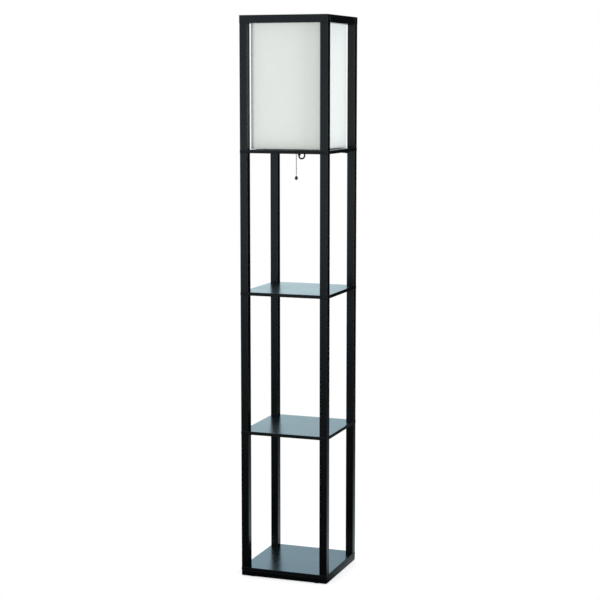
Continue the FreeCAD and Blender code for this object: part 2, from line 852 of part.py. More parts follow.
flange_across = 2 * size("drum_pitch")
groove_across = 2 * (size("drum_pitch") - size("bead_across") / 2 - size("moving_gap"))
flanges = lying_rod("drum_flanges", flange_across, size("drum_wide"))
groove_outer = lying_rod("groove_outer", flange_across + 2 * TOOL_SPARE, size("drum_groove"))
groove_floor = lying_rod("groove_floor", groove_across, size("drum_groove") + 2 * TOOL_SPARE)
journals = lying_rod("drum_journals", size("journal_across"), size("hood_wide") - 2 * size("fit_gap"))
grooved = cut("grooved_drum", flanges, [cut("groove_ring", groove_outer, [groove_floor])])
node(fuse("switch_drum", [grooved, journals]), "switch_drum")


def bead_chain(top, count, wire_top, wire_foot):
    """Hollow beads on a wire, fused to one hanging piece; top is the first bead's middle."""
    y, across, step = chain_y.number, size("bead_across").number, size("bead_step").number
    wire = Part.makeCylinder(size("chain_wire").number / 2, wire_top - wire_foot, Vector(0, y, wire_foot))
    beads = [Part.makeSphere(across / 2, Vector(0, y, top - i * step)) for i in range(count)]
    return wire.multiFuse(beads)


half_bead = size("bead_across").number / 2
swivel_z = swivel_level.number
step = size("bead_step").number
clear = size("moving_gap").number
upper_count = int((drum_z.number - swivel_z) / step)
upper_top = swivel_z + upper_count * step
free_shape("chain_upper", bead_chain(upper_top, upper_count, upper_top, swivel_z + half_bead + clear))
swing_bead = doc.addObject("Part::Sphere", "swing_bead")
bind(swing_bead, "Radius", size("bead_across") / 2)
stand(swing_bead, 0, chain_y, swivel_level)
node(swing_bead, "swing_bead")
bead_count = int(size("chain_beads").number)
free_shape("chain_lower", bead_chain(swivel_z - step, bead_count - 1, swivel_z - half_bead - clear,
                                     knob_top.number))
KNOB_OUTLINE = [  # shares of the knob's half width, and of its height from the top down
    (0, 1), (0.24, 1), (0.48, 0.9), (0.76, 0.76), (0.95, 0.62), (1, 0.5), (0.93, 0.38), (0.7, 0.22),
    (0.42, 0.08), (0.26, 0), (0, 0),
]
knob_half = size("knob_across") / 2
knob = turned("chain_knob", [(out * knob_half, -down * size("knob_tall")) for out, down in KNOB_OUTLINE])
stand(knob, 0, chain_y, knob_top)
node(knob, "chain_knob")

ferrule_bore = size("bead_across") + 2 * size("ferrule_gap")
ferrule = turned("chain_ferrule", [
    (ferrule_bore / 2, -size("ferrule_lip")),
    (size("ferrule_flange") / 2, -size("ferrule_lip")),
    (size("ferrule_flange") / 2, 0),
    (size("ferrule_across") / 2, 0),
    (size("ferrule_across") / 2, thick),
    (ferrule_bore / 2, thick),
])
stand(ferrule, 0, chain_y, lamp_level)
node(ferrule, "chain_ferrule")


# ---------------------------------------------------------------- cord

HALF_TURN_SHARE = 0.45  # of the shorter run, taken up by a corner's arc


def arc_between(start, corner, end):
    """The arc that is tangent to both lines at start and end, which are equally far from corner."""
    middle = (start + end) * 0.5
    half_chord = (end - start).Length / 2
    rise = (corner - middle).Length
    sag = half_chord * math.tan(math.atan2(rise, half_chord) / 2)
    crown = middle + (corner - middle).normalize() * sag
    return Part.Arc(start, crown, end).toShape()


def rounded_route(name, points):
    """Straight runs joined by tangent arcs, each as large as its two runs allow."""
    edges, here, radii = [], points[0], []
    for before, corner, after in zip(points, points[1:], points[2:]):
        back, on = before - corner, after - corner
        shorter = min(back.Length, on.Length)
        half_turn = (math.pi - back.getAngle(on)) / 2
        start = corner + back.normalize() * (HALF_TURN_SHARE * shorter)
        end = corner + on.normalize() * (HALF_TURN_SHARE * shorter)
        radii.append(HALF_TURN_SHARE * shorter / math.tan(half_turn))
        edges += [Part.LineSegment(here, start).toShape(), arc_between(start, corner, end)]
        here = end
    edges.append(Part.LineSegment(here, points[-1]).toShape())
    print(name, "radii", " ".join("%.1f" % r for r in radii))
    return edges


def biarc(start, along, end, onward):
    """Two arcs from start to end that leave along one direction and arrive along the other."""
    gap = end - start
    both = along + onward
    share = 2 * (1 - along.dot(onward))
    root = math.sqrt(gap.dot(both) ** 2 + share * gap.dot(gap))
    reach = (root - gap.dot(both)) / share
    first, second = start + along * reach, end - onward * reach
    middle = (first + second) * 0.5
    return [arc_between(start, first, middle), arc_between(middle, second, end)]


def swept(name, edges):
    """A round tube of the cord's width along the edges, its volume compared with its length's."""
    path = Part.Wire(edges)
    start = edges[0].valueAt(edges[0].FirstParameter)
    along = edges[0].tangentAt(edges[0].FirstParameter)
    ring = Part.Wire([Part.Circle(start, along, cord_half.number).toShape()])
    solid = path.makePipeShell([ring], True, False)
    expected = math.pi * cord_half.number ** 2 * path.Length
    print(name, "length %.1f, volume %.4f of expected" % (path.Length, solid.Volume / expected))
    if not solid.isValid() or abs(solid.Volume / expected - 1) > 0.01:
        raise RuntimeError(name + ": the tube is not sound")
    free_shape(name, solid)
    return path.Length


LOOP_TURN = 20  # degrees, the loop's plane from the lamp's front plane
ROUTE_SHARE = math.tan(math.pi / 8)  # of a quarter turn's radius, for the two points that make it

under = (lamp_level - cord_offset).number
loop = size("loop_radius").number
bend = size("edge_bend").number
exit_z = (lamp_level - size("bushing_drop")).number
start_z = (lamp_top + size("holder_foot")).number
floor_z = (cord_half + size("cord_floor_gap")).number
back_y = (width / 2 + cord_offset).number
drop_x = (post_inner - size("drop_inset")).number
loop_way = Rotation(Vector(0, 0, 1), LOOP_TURN).multVec(Vector(1, 0, 0))
loop_share = loop * ROUTE_SHARE
bend_share = bend * ROUTE_SHARE
drop_point = Vector(drop_x, back_y, 0)
loop_end = loop_way * (2 * loop)
to_drop = (drop_point - loop_end).normalize()

# the loop hangs under the lampholder, then the cord runs to the rear edge and over it
loop_points = [
    Vector(0, 0, start_z),
    Vector(0, 0, exit_z - loop_share),
    loop_way * (loop - loop_share) + Vector(0, 0, exit_z - loop),
    loop_way * (loop + loop_share) + Vector(0, 0, exit_z - loop),
    loop_end + Vector(0, 0, exit_z - loop_share),
    loop_end + Vector(0, 0, under - loop + loop_share),
    loop_end + to_drop * (loop - loop_share) + Vector(0, 0, under),
    drop_point - to_drop * (bend - bend_share) + Vector(0, 0, under),
    drop_point + Vector(0, 0, under - bend + bend_share),
    drop_point + Vector(0, 0, under - 3 * bend),
]
loop_length = swept("cord_loop", rounded_route("cord_loop", loop_points))

coil_x = size("coil_side").number
coil_radius = size("coil_radius").number
coil_y = back_y + coil_radius
drop_points = [
    loop_points[-1],
    drop_point + Vector(0, 0, floor_z + bend - bend_share),
    drop_point + Vector(-bend + bend_share, 0, floor_z),
    Vector(coil_x, back_y, floor_z),
]
drop_length = swept("cord_drop", rounded_route("cord_drop", drop_points))

COIL_TURNS = 2.0625
COIL_ARCS = 8  # biarcs to a turn
CLIMB_FROM = 0.75  # turns, where the coil starts up to its second layer
CLIMB_LONG = 0.5
turn_step = (size("cord_across") + size("coil_turn_gap")).number
layer_step = (size("cord_across") + size("coil_layer_gap")).number


def coil_place(turns):
    """A point of the coil after so many turns: in on the floor, up a layer, and out on top."""
    angle = -math.pi / 2 - 2 * math.pi * turns
    radius = coil_radius - turn_step * (1 - abs(1 - turns))
    climb = min(max((turns - CLIMB_FROM) / CLIMB_LONG, 0), 1)
    level = floor_z + layer_step * climb * climb * (3 - 2 * climb)
    return Vector(coil_x + radius * math.cos(angle), coil_y + radius * math.sin(angle), level)


def coil_heading(turns):
    nudge = 0.001
    return (coil_place(turns + nudge) - coil_place(turns - nudge)).normalize()


coil_stops = [i / COIL_ARCS for i in range(int(COIL_TURNS * COIL_ARCS) + 1)] + [COIL_TURNS]
coil_ways = [Vector(-1, 0, 0)] + [coil_heading(t) for t in coil_stops[1:]]
coil_edges = []
coil_places = [coil_place(t) for t in coil_stops]
for i in range(len(coil_stops) - 1):
    coil_edges += biarc(coil_places[i], coil_ways[i], coil_places[i + 1], coil_ways[i + 1])
leave_point, leave_way = coil_places[-1], coil_ways[-1]
plug_z = size("plug_tall").number / 2
plug_y = (width / 2 + size("cord_gap") + size("plug_wide") / 2 + size("plug_coil_gap")).number
tail_corner = leave_point + leave_way * ((plug_y - leave_point.y) / leave_way.y)
half_tail = Vector(size("tail_long").number / 2, 0, 0)
tail_middle = tail_corner - half_tail
tail_middle.z = plug_z
plug_rear = tail_middle - half_tail
coil_edges += rounded_route("cord_coil end", [leave_point, tail_corner, tail_middle, plug_rear])
coil_length = swept("cord_coil", coil_edges)
print("cord outside the lampholder %.1f" % (loop_length + drop_length + coil_length - (start_z - exit_z)))


POINT_STEP = 1.5
NEAR_ITSELF = 1.8  # radii along the cord, nearer than which two points are the same stretch
LEAST_TURN_GAP = 0.4


def self_gap(edges):
    """The least clear distance between two turns, measured on points along the centre line."""
    points = Part.Wire(edges).discretize(Distance=POINT_STEP)
    apart = int(NEAR_ITSELF * coil_radius / POINT_STEP)
    spans = [(here - there).Length for i, here in enumerate(points) for there in points[i + apart:]]
    return min(spans) - size("cord_across").number


coil_gap = self_gap(coil_edges)
print("cord_coil least gap to itself %.2f" % coil_gap)
if coil_gap < LEAST_TURN_GAP:
    raise RuntimeError("the coil's turns are too close")


def clip_shape(middle, along, outward):
    """A saddle clip that holds the cord against a face; middle is on the face under the cord."""
    hole = cord_hole.number / 2
    offset = cord_offset.number
    wide = 2 * (hole + size("clip_ear").number)
    deep = offset + hole + size("clip_wall").number
    tall = size("clip_tall").number
    block = Part.makeBox(wide, deep, tall, Vector(-wide / 2, 0, -tall / 2))
    top_edges = [e for e in block.Edges if e.CenterOfMass.y > deep - hole / 2]
    block = block.makeFillet(size("clip_round").number, top_edges)
    channel = Part.makeCylinder(hole, 2 * tall, Vector(0, offset, -tall))
    mouth = Part.makeBox(2 * hole, offset, 2 * tall, Vector(-hole, 0, -tall))
    clip = block.cut(channel.fuse(mouth))
    sideways = outward.cross(along)
    clip.Placement = Placement(FreeCAD.Matrix(
        sideways.x, outward.x, along.x, middle.x,
        sideways.y, outward.y, along.y, middle.y,
        sideways.z, outward.z, along.z, middle.z,
        0, 0, 0, 1))
    return clip


UP, BACK, DOWN = Vector(0, 0, 1), Vector(0, 1, 0), Vector(0, 0, -1)
edge_y = (width / 2).number
clips = [
    clip_shape(Vector(drop_x, edge_y, (level + thick / 2).number), UP, BACK)
    for level in (base_level, lower_level, upper_level)
]
clips.append(clip_shape((loop_end + drop_point) * 0.5 + Vector(0, 0, lamp_level.number), to_drop, DOWN))
free_shape("cord_clips", Part.makeCompound(clips))


PLUG_CORNER = 0.32  # of a section's smaller side
GRIP_AT = 0.45  # of the plug's length, where its tail ends
GRIP_SHARE = 0.92  # of the plug's face


def plug_section(x, wide, tall):
    """The rounded outline of the plug at one place along it."""
    block = Part.makeBox(1, wide, tall, Vector(0, -wide / 2, -tall / 2))
    lengthwise = [e for e in block.Edges if e.tangentAt(e.FirstParameter).x]
    block = block.makeFillet(PLUG_CORNER * min(wide, tall), lengthwise)
    outline_wire = min(block.Faces, key=lambda f: f.CenterOfMass.x).OuterWire.copy()
    outline_wire.translate(Vector(x, 0, 0))
    return outline_wire


def plug_body():
    """A moulded plug that narrows towards its cord."""
    long, wide, tall = (size(n).number for n in ("plug_long", "plug_wide", "plug_tall"))
    tail_face = plug_section(0, size("plug_tail_wide").number, size("plug_tail_tall").number)
    waist = plug_section(-GRIP_AT * long, GRIP_SHARE * wide, GRIP_SHARE * tall)
    front = plug_section(-long, wide, tall)
    tail = Part.makeLoft([tail_face, waist], True, True)
    return tail.fuse(Part.makeLoft([waist, front], True, True)).removeSplitter()


free_shape("plug_body", plug_body(), plug_rear)
plug_front = plug_rear.x - size("plug_long").number
blade_long = size("blade_long")
blades = [
    box("blade_" + word, blade_long, size("blade_thick"), size("blade_tall"),
        plug_front - blade_long / 2, plug_y + a * size("blade_step") / 2, plug_z - size("blade_tall") / 2)
    for word, a in (("front", -1), ("back", 1))
]
pair = doc.addObject("Part::Compound", "plug_blades")
pair.Links = blades
node(pair, "plug_blades")


# ---------------------------------------------------------------- checks and files

doc.recompute()
for feature in doc.Objects:
    if "Invalid" in feature.State or "Error" in feature.State:
        raise RuntimeError("%s failed: %s" % (feature.Label, feature.State))
os.makedirs("parts", exist_ok=True)
for name, feature in nodes.items():
    shape = feature.Shape
    if shape.isNull() or not shape.isValid() or not shape.Solids:
        raise RuntimeError(name + " is not a sound solid")
    if len(shape.Solids) > 1:
        shape = Part.makeCompound(shape.Solids)
    else:
        shape = shape.Solids[0]
    shape.exportStep("parts/%s.step" % name)
print(len(nodes), "nodes, lamp height %.1f" % lamp_height.number)
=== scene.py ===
"""Shelf floor lamp: the camera, the cord, the cloth of the shade, every finish and the studio."""
import math

import bmesh
import bpy
from mathutils import Euler, Matrix, Vector


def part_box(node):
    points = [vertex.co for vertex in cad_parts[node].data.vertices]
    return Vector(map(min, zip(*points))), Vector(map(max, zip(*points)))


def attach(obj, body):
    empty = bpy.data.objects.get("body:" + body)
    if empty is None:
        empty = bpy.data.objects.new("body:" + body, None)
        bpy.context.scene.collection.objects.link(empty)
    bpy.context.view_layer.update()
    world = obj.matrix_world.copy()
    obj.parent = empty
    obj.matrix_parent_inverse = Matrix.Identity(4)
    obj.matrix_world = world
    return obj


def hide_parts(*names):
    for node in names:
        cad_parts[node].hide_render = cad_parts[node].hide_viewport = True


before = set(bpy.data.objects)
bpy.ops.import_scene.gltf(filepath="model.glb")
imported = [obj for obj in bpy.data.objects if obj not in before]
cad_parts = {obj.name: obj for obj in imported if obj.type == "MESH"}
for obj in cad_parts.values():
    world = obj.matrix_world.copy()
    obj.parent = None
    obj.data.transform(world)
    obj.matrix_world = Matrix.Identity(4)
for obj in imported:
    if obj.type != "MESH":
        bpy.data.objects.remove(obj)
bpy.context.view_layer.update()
MM = 0.001


# ---- camera ----

CAMERA_PLACE = (1.5872, -4.3518, 1.4064)
CAMERA_TURN = (82.391, 0.0, 20.012)  # degrees
CAMERA_LENS = 98.268
SENSOR_WIDE = 36.0
SIGHT_LONG = 60.0  # metres


def set_camera():
    lens = bpy.data.cameras.new("camera")
    lens.lens = CAMERA_LENS
    lens.sensor_width = SENSOR_WIDE
    lens.clip_end = SIGHT_LONG
    camera = bpy.data.objects.new("camera", lens)
    camera.location = CAMERA_PLACE
    camera.rotation_euler = Euler([math.radians(part) for part in CAMERA_TURN], "XYZ")
    bpy.context.collection.objects.link(camera)
    bpy.context.scene.camera = camera


set_camera()


# ---- cord ----

CORD_ACROSS = 4.5 * MM

# The control points and the sizes of the coil are in mm.
LOOP_AND_DROP = [  # the loop under the lamp panel, the run to the back edge, the drop down the rear post
    (0, 0, 1203), (-1.7, 0.3, 1196.2), (3.2, 0.6, 1189.7), (11.2, 1.5, 1190.1),
    (15.7, 2.8, 1196.6), (13.4, 6, 1203.9), (15.6, 15, 1206.4),
    (99.515, 124.113, 1206.35), (104.6, 131.35, 1197.505), (104.6, 131.35, 1161.05),
    (104.6, 131.35, 23.6), (104.6, 131.35, 11.115), (95.755, 131.35, 2.27),
]
COIL_CENTRE = (26.0, 156.15)
COIL_RADIUS = 24.8
COIL_NARROWS = 4.7  # tighter by this much at the end of the first turn
COIL_TURNS = 2.0625
COIL_STOPS = 14  # control points to a turn
COIL_RISE = 5.1  # of the second turn above the first
CLIMB_FROM = 0.75  # turns
CLIMB_TURNS = 0.5
CORD_ON_FLOOR = 2.27
TAIL_TO_PLUG = [(-8.97, 142.6, 7.37), (-20.97, 142.6, 7.0), (-32.97, 142.6, 7.0)]
TIE_TURN = 0.25  # the tie's place on each turn
TIE_LIFT = 0.5  # the cord rises by this much at the tie
TIE_LIFT_TURNS = 0.15  # and comes down over this share of a turn on each side


def smooth_step(t):
    t = min(max(t, 0.0), 1.0)
    return t * t * (3 - 2 * t)


def coil_angle(turns):
    """The coil starts at its front and runs clockwise, seen from above."""
    return math.radians(-90 - 360 * turns)


def coil_points():
    """Control points of the coil, the second turn lying on the first."""
    points = []
    count = round(COIL_TURNS * COIL_STOPS)
    for i in range(count + 1):
        turns = COIL_TURNS * i / count
        angle = coil_angle(turns)
        radius = COIL_RADIUS - COIL_NARROWS * (1 - abs(1 - turns))
        climb = COIL_RISE * smooth_step((turns - CLIMB_FROM) / CLIMB_TURNS)
        to_tie = min(abs(turns - TIE_TURN), abs(turns - 1 - TIE_TURN))
        lift = TIE_LIFT * smooth_step(1 - to_tie / TIE_LIFT_TURNS)
        points.append((COIL_CENTRE[0] + radius * math.cos(angle), COIL_CENTRE[1] + radius * math.sin(angle),
                       CORD_ON_FLOOR + climb + lift))
    return points


def cord_curve(name, across):
    """One open spline through the whole route; with no thickness it is the cord's own line."""
    data = bpy.data.curves.new(name, "CURVE")
    data.dimensions = "3D"
    spline = data.splines.new("NURBS")
    route = LOOP_AND_DROP + coil_points() + TAIL_TO_PLUG
    spline.points.add(len(route) - 1)
    for point, place in zip(spline.points, route):
        point.co = (*(part * MM for part in place), 1.0)
    spline.order_u = 3
    spline.use_endpoint_u = True
    spline.resolution_u = 10
    data.bevel_depth = across / 2
    data.bevel_resolution = 5
    data.use_fill_caps = across > 0
    curve = bpy.data.objects.new(name, data)
    bpy.context.collection.objects.link(curve)
    return curve


def cord_line():
    """Points of the cord's line, read from its spline."""
    bare = cord_curve("bare_line", 0.0)
    mesh = bpy.data.meshes.new_from_object(bare)
    line = [v.co.copy() for v in mesh.vertices]
    bpy.data.meshes.remove(mesh)
    bpy.data.objects.remove(bare)
    return line


# ---- ways to make a mesh piece ----

def new_piece(name, shape, body, finish, smooth=True):
    """A finished mesh piece, riding on its body."""
    mesh = bpy.data.meshes.new(name)
    shape.to_mesh(mesh)
    shape.free()
    piece = bpy.data.objects.new(name, mesh)
    bpy.context.collection.objects.link(piece)
    for face in mesh.polygons:
        face.use_smooth = smooth
    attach(piece, body)
    mesh.materials.append(finish)
    return piece


def only(kind, geom):
    return [part for part in geom if isinstance(part, kind)]


def extrude_edges(shape, edges):
    """Extrudes edges where they are, and returns the new vertices and the new edges."""
    geom = bmesh.ops.extrude_edge_only(shape, edges=edges)["geom"]
    return only(bmesh.types.BMVert, geom), only(bmesh.types.BMEdge, geom)


# ---- finishes ----

# Sockets of the mix node by index, because their names repeat.
NUMBER_A, NUMBER_B = 2, 3
COLOUR_A, COLOUR_B, COLOUR_OUT = 6, 7, 2


class Finish:
    """A node material with short ways to add the nodes that the finishes below share."""

    def __init__(self, name, colour, rough, metal=0.0, **sockets):
        self.material = bpy.data.materials.new(name)
        self.material.use_nodes = True
        self.nodes = self.material.node_tree.nodes
        self.links = self.material.node_tree.links
        self.shader = self.nodes["Principled BSDF"]
        self.set("Base Color", (*colour, 1.0))
        self.set("Roughness", rough)
        self.set("Metallic", metal)
        for socket, value in sockets.items():
            self.set(socket.replace("_", " "), value)
        self.height = None

    def set(self, socket, value):
        self.shader.inputs[socket].default_value = value

    def node(self, kind, **values):
        made = self.nodes.new(kind)
        for key, value in values.items():
            setattr(made, key, value)
        return made

    def feed(self, socket, value):
        if isinstance(value, bpy.types.NodeSocket):
            self.links.new(value, socket)
        else:
            socket.default_value = value

    def place(self, stretch=(1, 1, 1), source="Object"):
        """Coordinates in metres, stretched for a pattern."""
        where = self.node("ShaderNodeTexCoord").outputs[source]
        mapping = self.node("ShaderNodeMapping")
        self.links.new(where, mapping.inputs["Vector"])
        mapping.inputs["Scale"].default_value = stretch
        return mapping.outputs["Vector"]

    def speckle(self, vector, scale, detail=3.0, rough=0.5):
        noise = self.node("ShaderNodeTexNoise")
        self.links.new(vector, noise.inputs["Vector"])
        noise.inputs["Scale"].default_value = scale
        noise.inputs["Detail"].default_value = detail
        noise.inputs["Roughness"].default_value = rough
        return noise.outputs["Fac"]

    def threads(self, vector, direction, scale, bend):
        wave = self.node("ShaderNodeTexWave", bands_direction=direction)
        self.links.new(vector, wave.inputs["Vector"])
        wave.inputs["Scale"].default_value = scale
        wave.inputs["Distortion"].default_value = bend
        return wave.outputs["Fac"]

    def ranged(self, value, low, high, start=0.0, end=1.0):
        """Goes from low to high while value goes from start to end."""
        ramp = self.node("ShaderNodeMapRange")
        self.feed(ramp.inputs["Value"], value)
        for socket, number in (("From Min", start), ("From Max", end), ("To Min", low), ("To Max", high)):
            ramp.inputs[socket].default_value = number
        return ramp.outputs["Result"]

    def combine(self, kind, first, second):
        """Two values joined by one step of arithmetic."""
        step = self.node("ShaderNodeMath", operation=kind)
        self.feed(step.inputs[0], first)
        self.feed(step.inputs[1], second)
        return step.outputs["Value"]

    def tint(self, share, dark, light):
        """The base colour goes from dark to light with share."""
        mix = self.node("ShaderNodeMix", data_type="RGBA")
        self.feed(mix.inputs["Factor"], share)
        mix.inputs[COLOUR_A].default_value = (*dark, 1.0)
        mix.inputs[COLOUR_B].default_value = (*light, 1.0)
        self.links.new(mix.outputs[COLOUR_OUT], self.shader.inputs["Base Color"])

    def gloss(self, value):
        self.links.new(value, self.shader.inputs["Roughness"])

    def relief(self, value, depth, strength):
        """Fine relief; a second one lies on top of the first."""
        bump = self.node("ShaderNodeBump")
        bump.inputs["Strength"].default_value = strength
        bump.inputs["Distance"].default_value = depth
        self.links.new(value, bump.inputs["Height"])
        if self.height:
            self.links.new(self.height, bump.inputs["Normal"])
        self.height = bump.outputs["Normal"]
        self.links.new(self.height, self.shader.inputs["Normal"])


LACQUER = (0.0018, 0.002, 0.0024)
LACQUER_DARK = (0.0009, 0.0011, 0.0014)


def black_wood(name, along):
    """Satin black lacquer over wood, the grain running along one axis."""
    finish = Finish(name, LACQUER, rough=0.22, IOR=1.38)
    stretch = tuple(0.06 if axis == along else 1.0 for axis in "XYZ")
    grain = finish.speckle(finish.place(stretch), scale=420.0, detail=4.0, rough=0.6)
    cloud = finish.speckle(finish.place(), scale=14.0, detail=2.0)
    peel = finish.speckle(finish.place(), scale=900.0, detail=1.0)
    finish.tint(finish.combine("MULTIPLY", grain, cloud), dark=LACQUER_DARK, light=(0.0038, 0.0044, 0.0050))
    dry = finish.ranged(grain, low=-0.03, high=0.04)
    finish.gloss(finish.combine("ADD", dry, finish.ranged(cloud, low=0.19, high=0.25)))
    finish.relief(grain, depth=0.03 * MM, strength=0.25)
    finish.relief(peel, depth=0.01 * MM, strength=0.25)
    return finish.material


def black_board():
    """Black lacquer over board: even and glossier on the broad faces, dry on the sawn edges."""
    finish = Finish("black_board", LACQUER, rough=0.26, IOR=1.36)
    fibre = finish.speckle(finish.place(), scale=700.0, detail=3.0, rough=0.6)
    cloud = finish.speckle(finish.place(), scale=9.0, detail=2.0)
    finish.tint(finish.combine("MULTIPLY", fibre, cloud), dark=LACQUER_DARK, light=(0.0034, 0.0039, 0.0045))
    parts = finish.node("ShaderNodeSeparateXYZ")
    finish.links.new(finish.node("ShaderNodeTexCoord").outputs["Normal"], parts.inputs[0])
    level = finish.combine("ABSOLUTE", parts.outputs["Z"], 0.0)
    dry = finish.ranged(level, low=0.12, high=0.0, start=0.3, end=0.8)
    finish.gloss(finish.combine("ADD", dry, finish.ranged(cloud, low=0.22, high=0.29)))
    finish.relief(fibre, depth=0.012 * MM, strength=0.25)
    return finish.material


THREAD_SCALE = 190.0
THREAD_BEND = 0.6
SLUB_SCALE = 900.0
SLUB_STRETCH = 0.02


def shade_linen():
    """Off-white plain-woven cloth: uneven threads both ways, here and there a thick one."""
    finish = Finish("shade_linen", (0.755, 0.797, 0.76), rough=0.9, Sheen_Weight=0.15, Sheen_Roughness=0.6)
    flat = finish.place(source="UV")
    upwards = finish.place((1.0, SLUB_STRETCH, 1.0), source="UV")
    sideways = finish.place((SLUB_STRETCH, 1.0, 1.0), source="UV")
    thick_warp = finish.speckle(upwards, SLUB_SCALE, detail=2.0, rough=0.7)
    thick_weft = finish.speckle(sideways, SLUB_SCALE, detail=2.0, rough=0.7)
    warp = finish.threads(flat, "X", THREAD_SCALE, THREAD_BEND)
    weft = finish.threads(flat, "Y", THREAD_SCALE, THREAD_BEND)
    slubs = finish.combine("MAXIMUM", thick_warp, thick_weft)
    over = finish.combine("MAXIMUM", warp, weft)
    weave = finish.combine("MULTIPLY", over, finish.ranged(slubs, low=0.6, high=1.1, start=0.3, end=0.75))
    share = finish.combine("MULTIPLY", weave, finish.ranged(slubs, low=0.75, high=1.05, start=0.35, end=0.7))
    finish.tint(share, dark=(0.665, 0.702, 0.667), light=(0.785, 0.825, 0.785))
    finish.relief(weave, depth=0.12 * MM, strength=0.45)
    return finish.material


def shade_backing():
    """The smooth plastic liner behind the cloth."""
    finish = Finish("shade_backing", (0.82, 0.825, 0.80), rough=0.45, IOR=1.46)
    cloud = finish.speckle(finish.place(), scale=40.0)
    finish.tint(cloud, dark=(0.78, 0.785, 0.755), light=(0.85, 0.855, 0.83))
    finish.relief(finish.speckle(finish.place(), scale=1500.0, detail=1.0), depth=0.02 * MM, strength=0.4)
    return finish.material


def painted_wire():
    """White powder paint on wire."""
    finish = Finish("white_wire", (0.78, 0.78, 0.76), rough=0.38)
    cloud = finish.speckle(finish.place(), scale=300.0)
    finish.tint(cloud, dark=(0.72, 0.72, 0.69), light=(0.83, 0.83, 0.81))
    finish.relief(cloud, depth=0.04 * MM, strength=0.5)
    return finish.material


def drawn_metal(name, dark, light, rough, along="Z", scratch=2500.0):
    """Metal with fine lines round it from drawing or turning, and a little unevenness."""
    finish = Finish(name, light, rough, metal=1.0)
    stretch = tuple(1.0 if axis == along else 0.03 for axis in "XYZ")
    lines = finish.speckle(finish.place(stretch), scratch, detail=2.0, rough=0.6)
    stain = finish.speckle(finish.place(), scale=120.0, detail=3.0)
    finish.tint(stain, dark, light)
    worn = finish.ranged(lines, low=-0.05, high=0.06)
    finish.gloss(finish.combine("ADD", worn, finish.ranged(stain, low=rough - 0.05, high=rough + 0.08)))
    finish.relief(lines, depth=0.02 * MM, strength=0.4)
    return finish.material


def moulded(name, dark, light, rough, grain=1800.0, depth=0.04 * MM, **sockets):
    """Moulded plastic, rubber or hard resin with a fine cast grain."""
    finish = Finish(name, light, rough, **sockets)
    pores = finish.speckle(finish.place(), grain, detail=2.0)
    cloud = finish.speckle(finish.place(), scale=90.0, detail=2.0)
    finish.tint(cloud, dark, light)
    finish.gloss(finish.ranged(pores, low=rough - 0.05, high=rough + 0.07))
    finish.relief(pores, depth, strength=0.5)
    return finish.material


def fibre_board():
    """Dark pressed fibre, the lampholder's insulating liner."""
    finish = Finish("fibre_board", (0.12, 0.11, 0.10), rough=0.75)
    fibres = finish.speckle(finish.place((1.0, 1.0, 0.15)), scale=1400.0, detail=4.0, rough=0.7)
    finish.tint(fibres, dark=(0.07, 0.065, 0.06), light=(0.20, 0.185, 0.165))
    finish.relief(fibres, depth=0.06 * MM, strength=0.6)
    return finish.material


def frosted_glass():
    """Glass coated white on its inside."""
    finish = Finish("frosted_glass", (0.93, 0.94, 0.93), rough=0.32, IOR=1.5, Transmission_Weight=0.25)
    frost = finish.speckle(finish.place(), scale=3000.0, detail=1.0)
    cloud = finish.speckle(finish.place(), scale=60.0, detail=1.0)
    finish.tint(cloud, dark=(0.86, 0.87, 0.86), light=(0.93, 0.935, 0.925))
    finish.gloss(finish.ranged(frost, low=0.25, high=0.4))
    finish.relief(frost, depth=0.01 * MM, strength=0.3)
    return finish.material


FINISHES = {
    "zinc_steel": drawn_metal("zinc_steel", (0.42, 0.44, 0.46), (0.62, 0.64, 0.66), 0.34),
    "glide_plastic": moulded("glide_plastic", (0.05, 0.05, 0.05), (0.09, 0.09, 0.088), 0.5),
    "shade_backing": shade_backing(),
    "white_wire": painted_wire(),
    "holder_brass": drawn_metal("holder_brass", (0.62, 0.42, 0.16), (0.83, 0.62, 0.29), 0.27),
    "fibre_board": fibre_board(),
    "dark_phenolic": moulded("dark_phenolic", (0.012, 0.010, 0.009), (0.03, 0.024, 0.02), 0.3, grain=900.0),
    "plain_aluminium": drawn_metal("plain_aluminium", (0.68, 0.69, 0.70), (0.86, 0.865, 0.87), 0.3),
    "frosted_glass": frosted_glass(),
    "chain_nickel": drawn_metal("chain_nickel", (0.26, 0.26, 0.26), (0.42, 0.42, 0.41), 0.3, scratch=4000.0),
    "knob_black": moulded("knob_black", (0.010, 0.010, 0.011), (0.028, 0.028, 0.03), 0.16,
                          grain=700.0, depth=0.01 * MM, Coat_Weight=0.6),
    "black_ferrule": moulded("black_ferrule", (0.012, 0.012, 0.013), (0.03, 0.03, 0.031), 0.4),
    "cord_black": moulded("cord_black", (0.004, 0.005, 0.006), (0.011, 0.012, 0.013), 0.5,
                          grain=2600.0, depth=0.03 * MM, IOR=1.4),
    "clip_black": moulded("clip_black", (0.012, 0.012, 0.013), (0.032, 0.032, 0.034), 0.36),
    "blade_brass": drawn_metal("blade_brass", (0.66, 0.48, 0.22), (0.84, 0.66, 0.36), 0.24, along="X"),
}
UPRIGHT = black_wood("black_wood_upright", "Z")
ACROSS = black_wood("black_wood_across", "X")
BOARD = black_board()
DEEPWAYS = black_wood("black_wood_deepways", "Y")
LINEN = shade_linen()

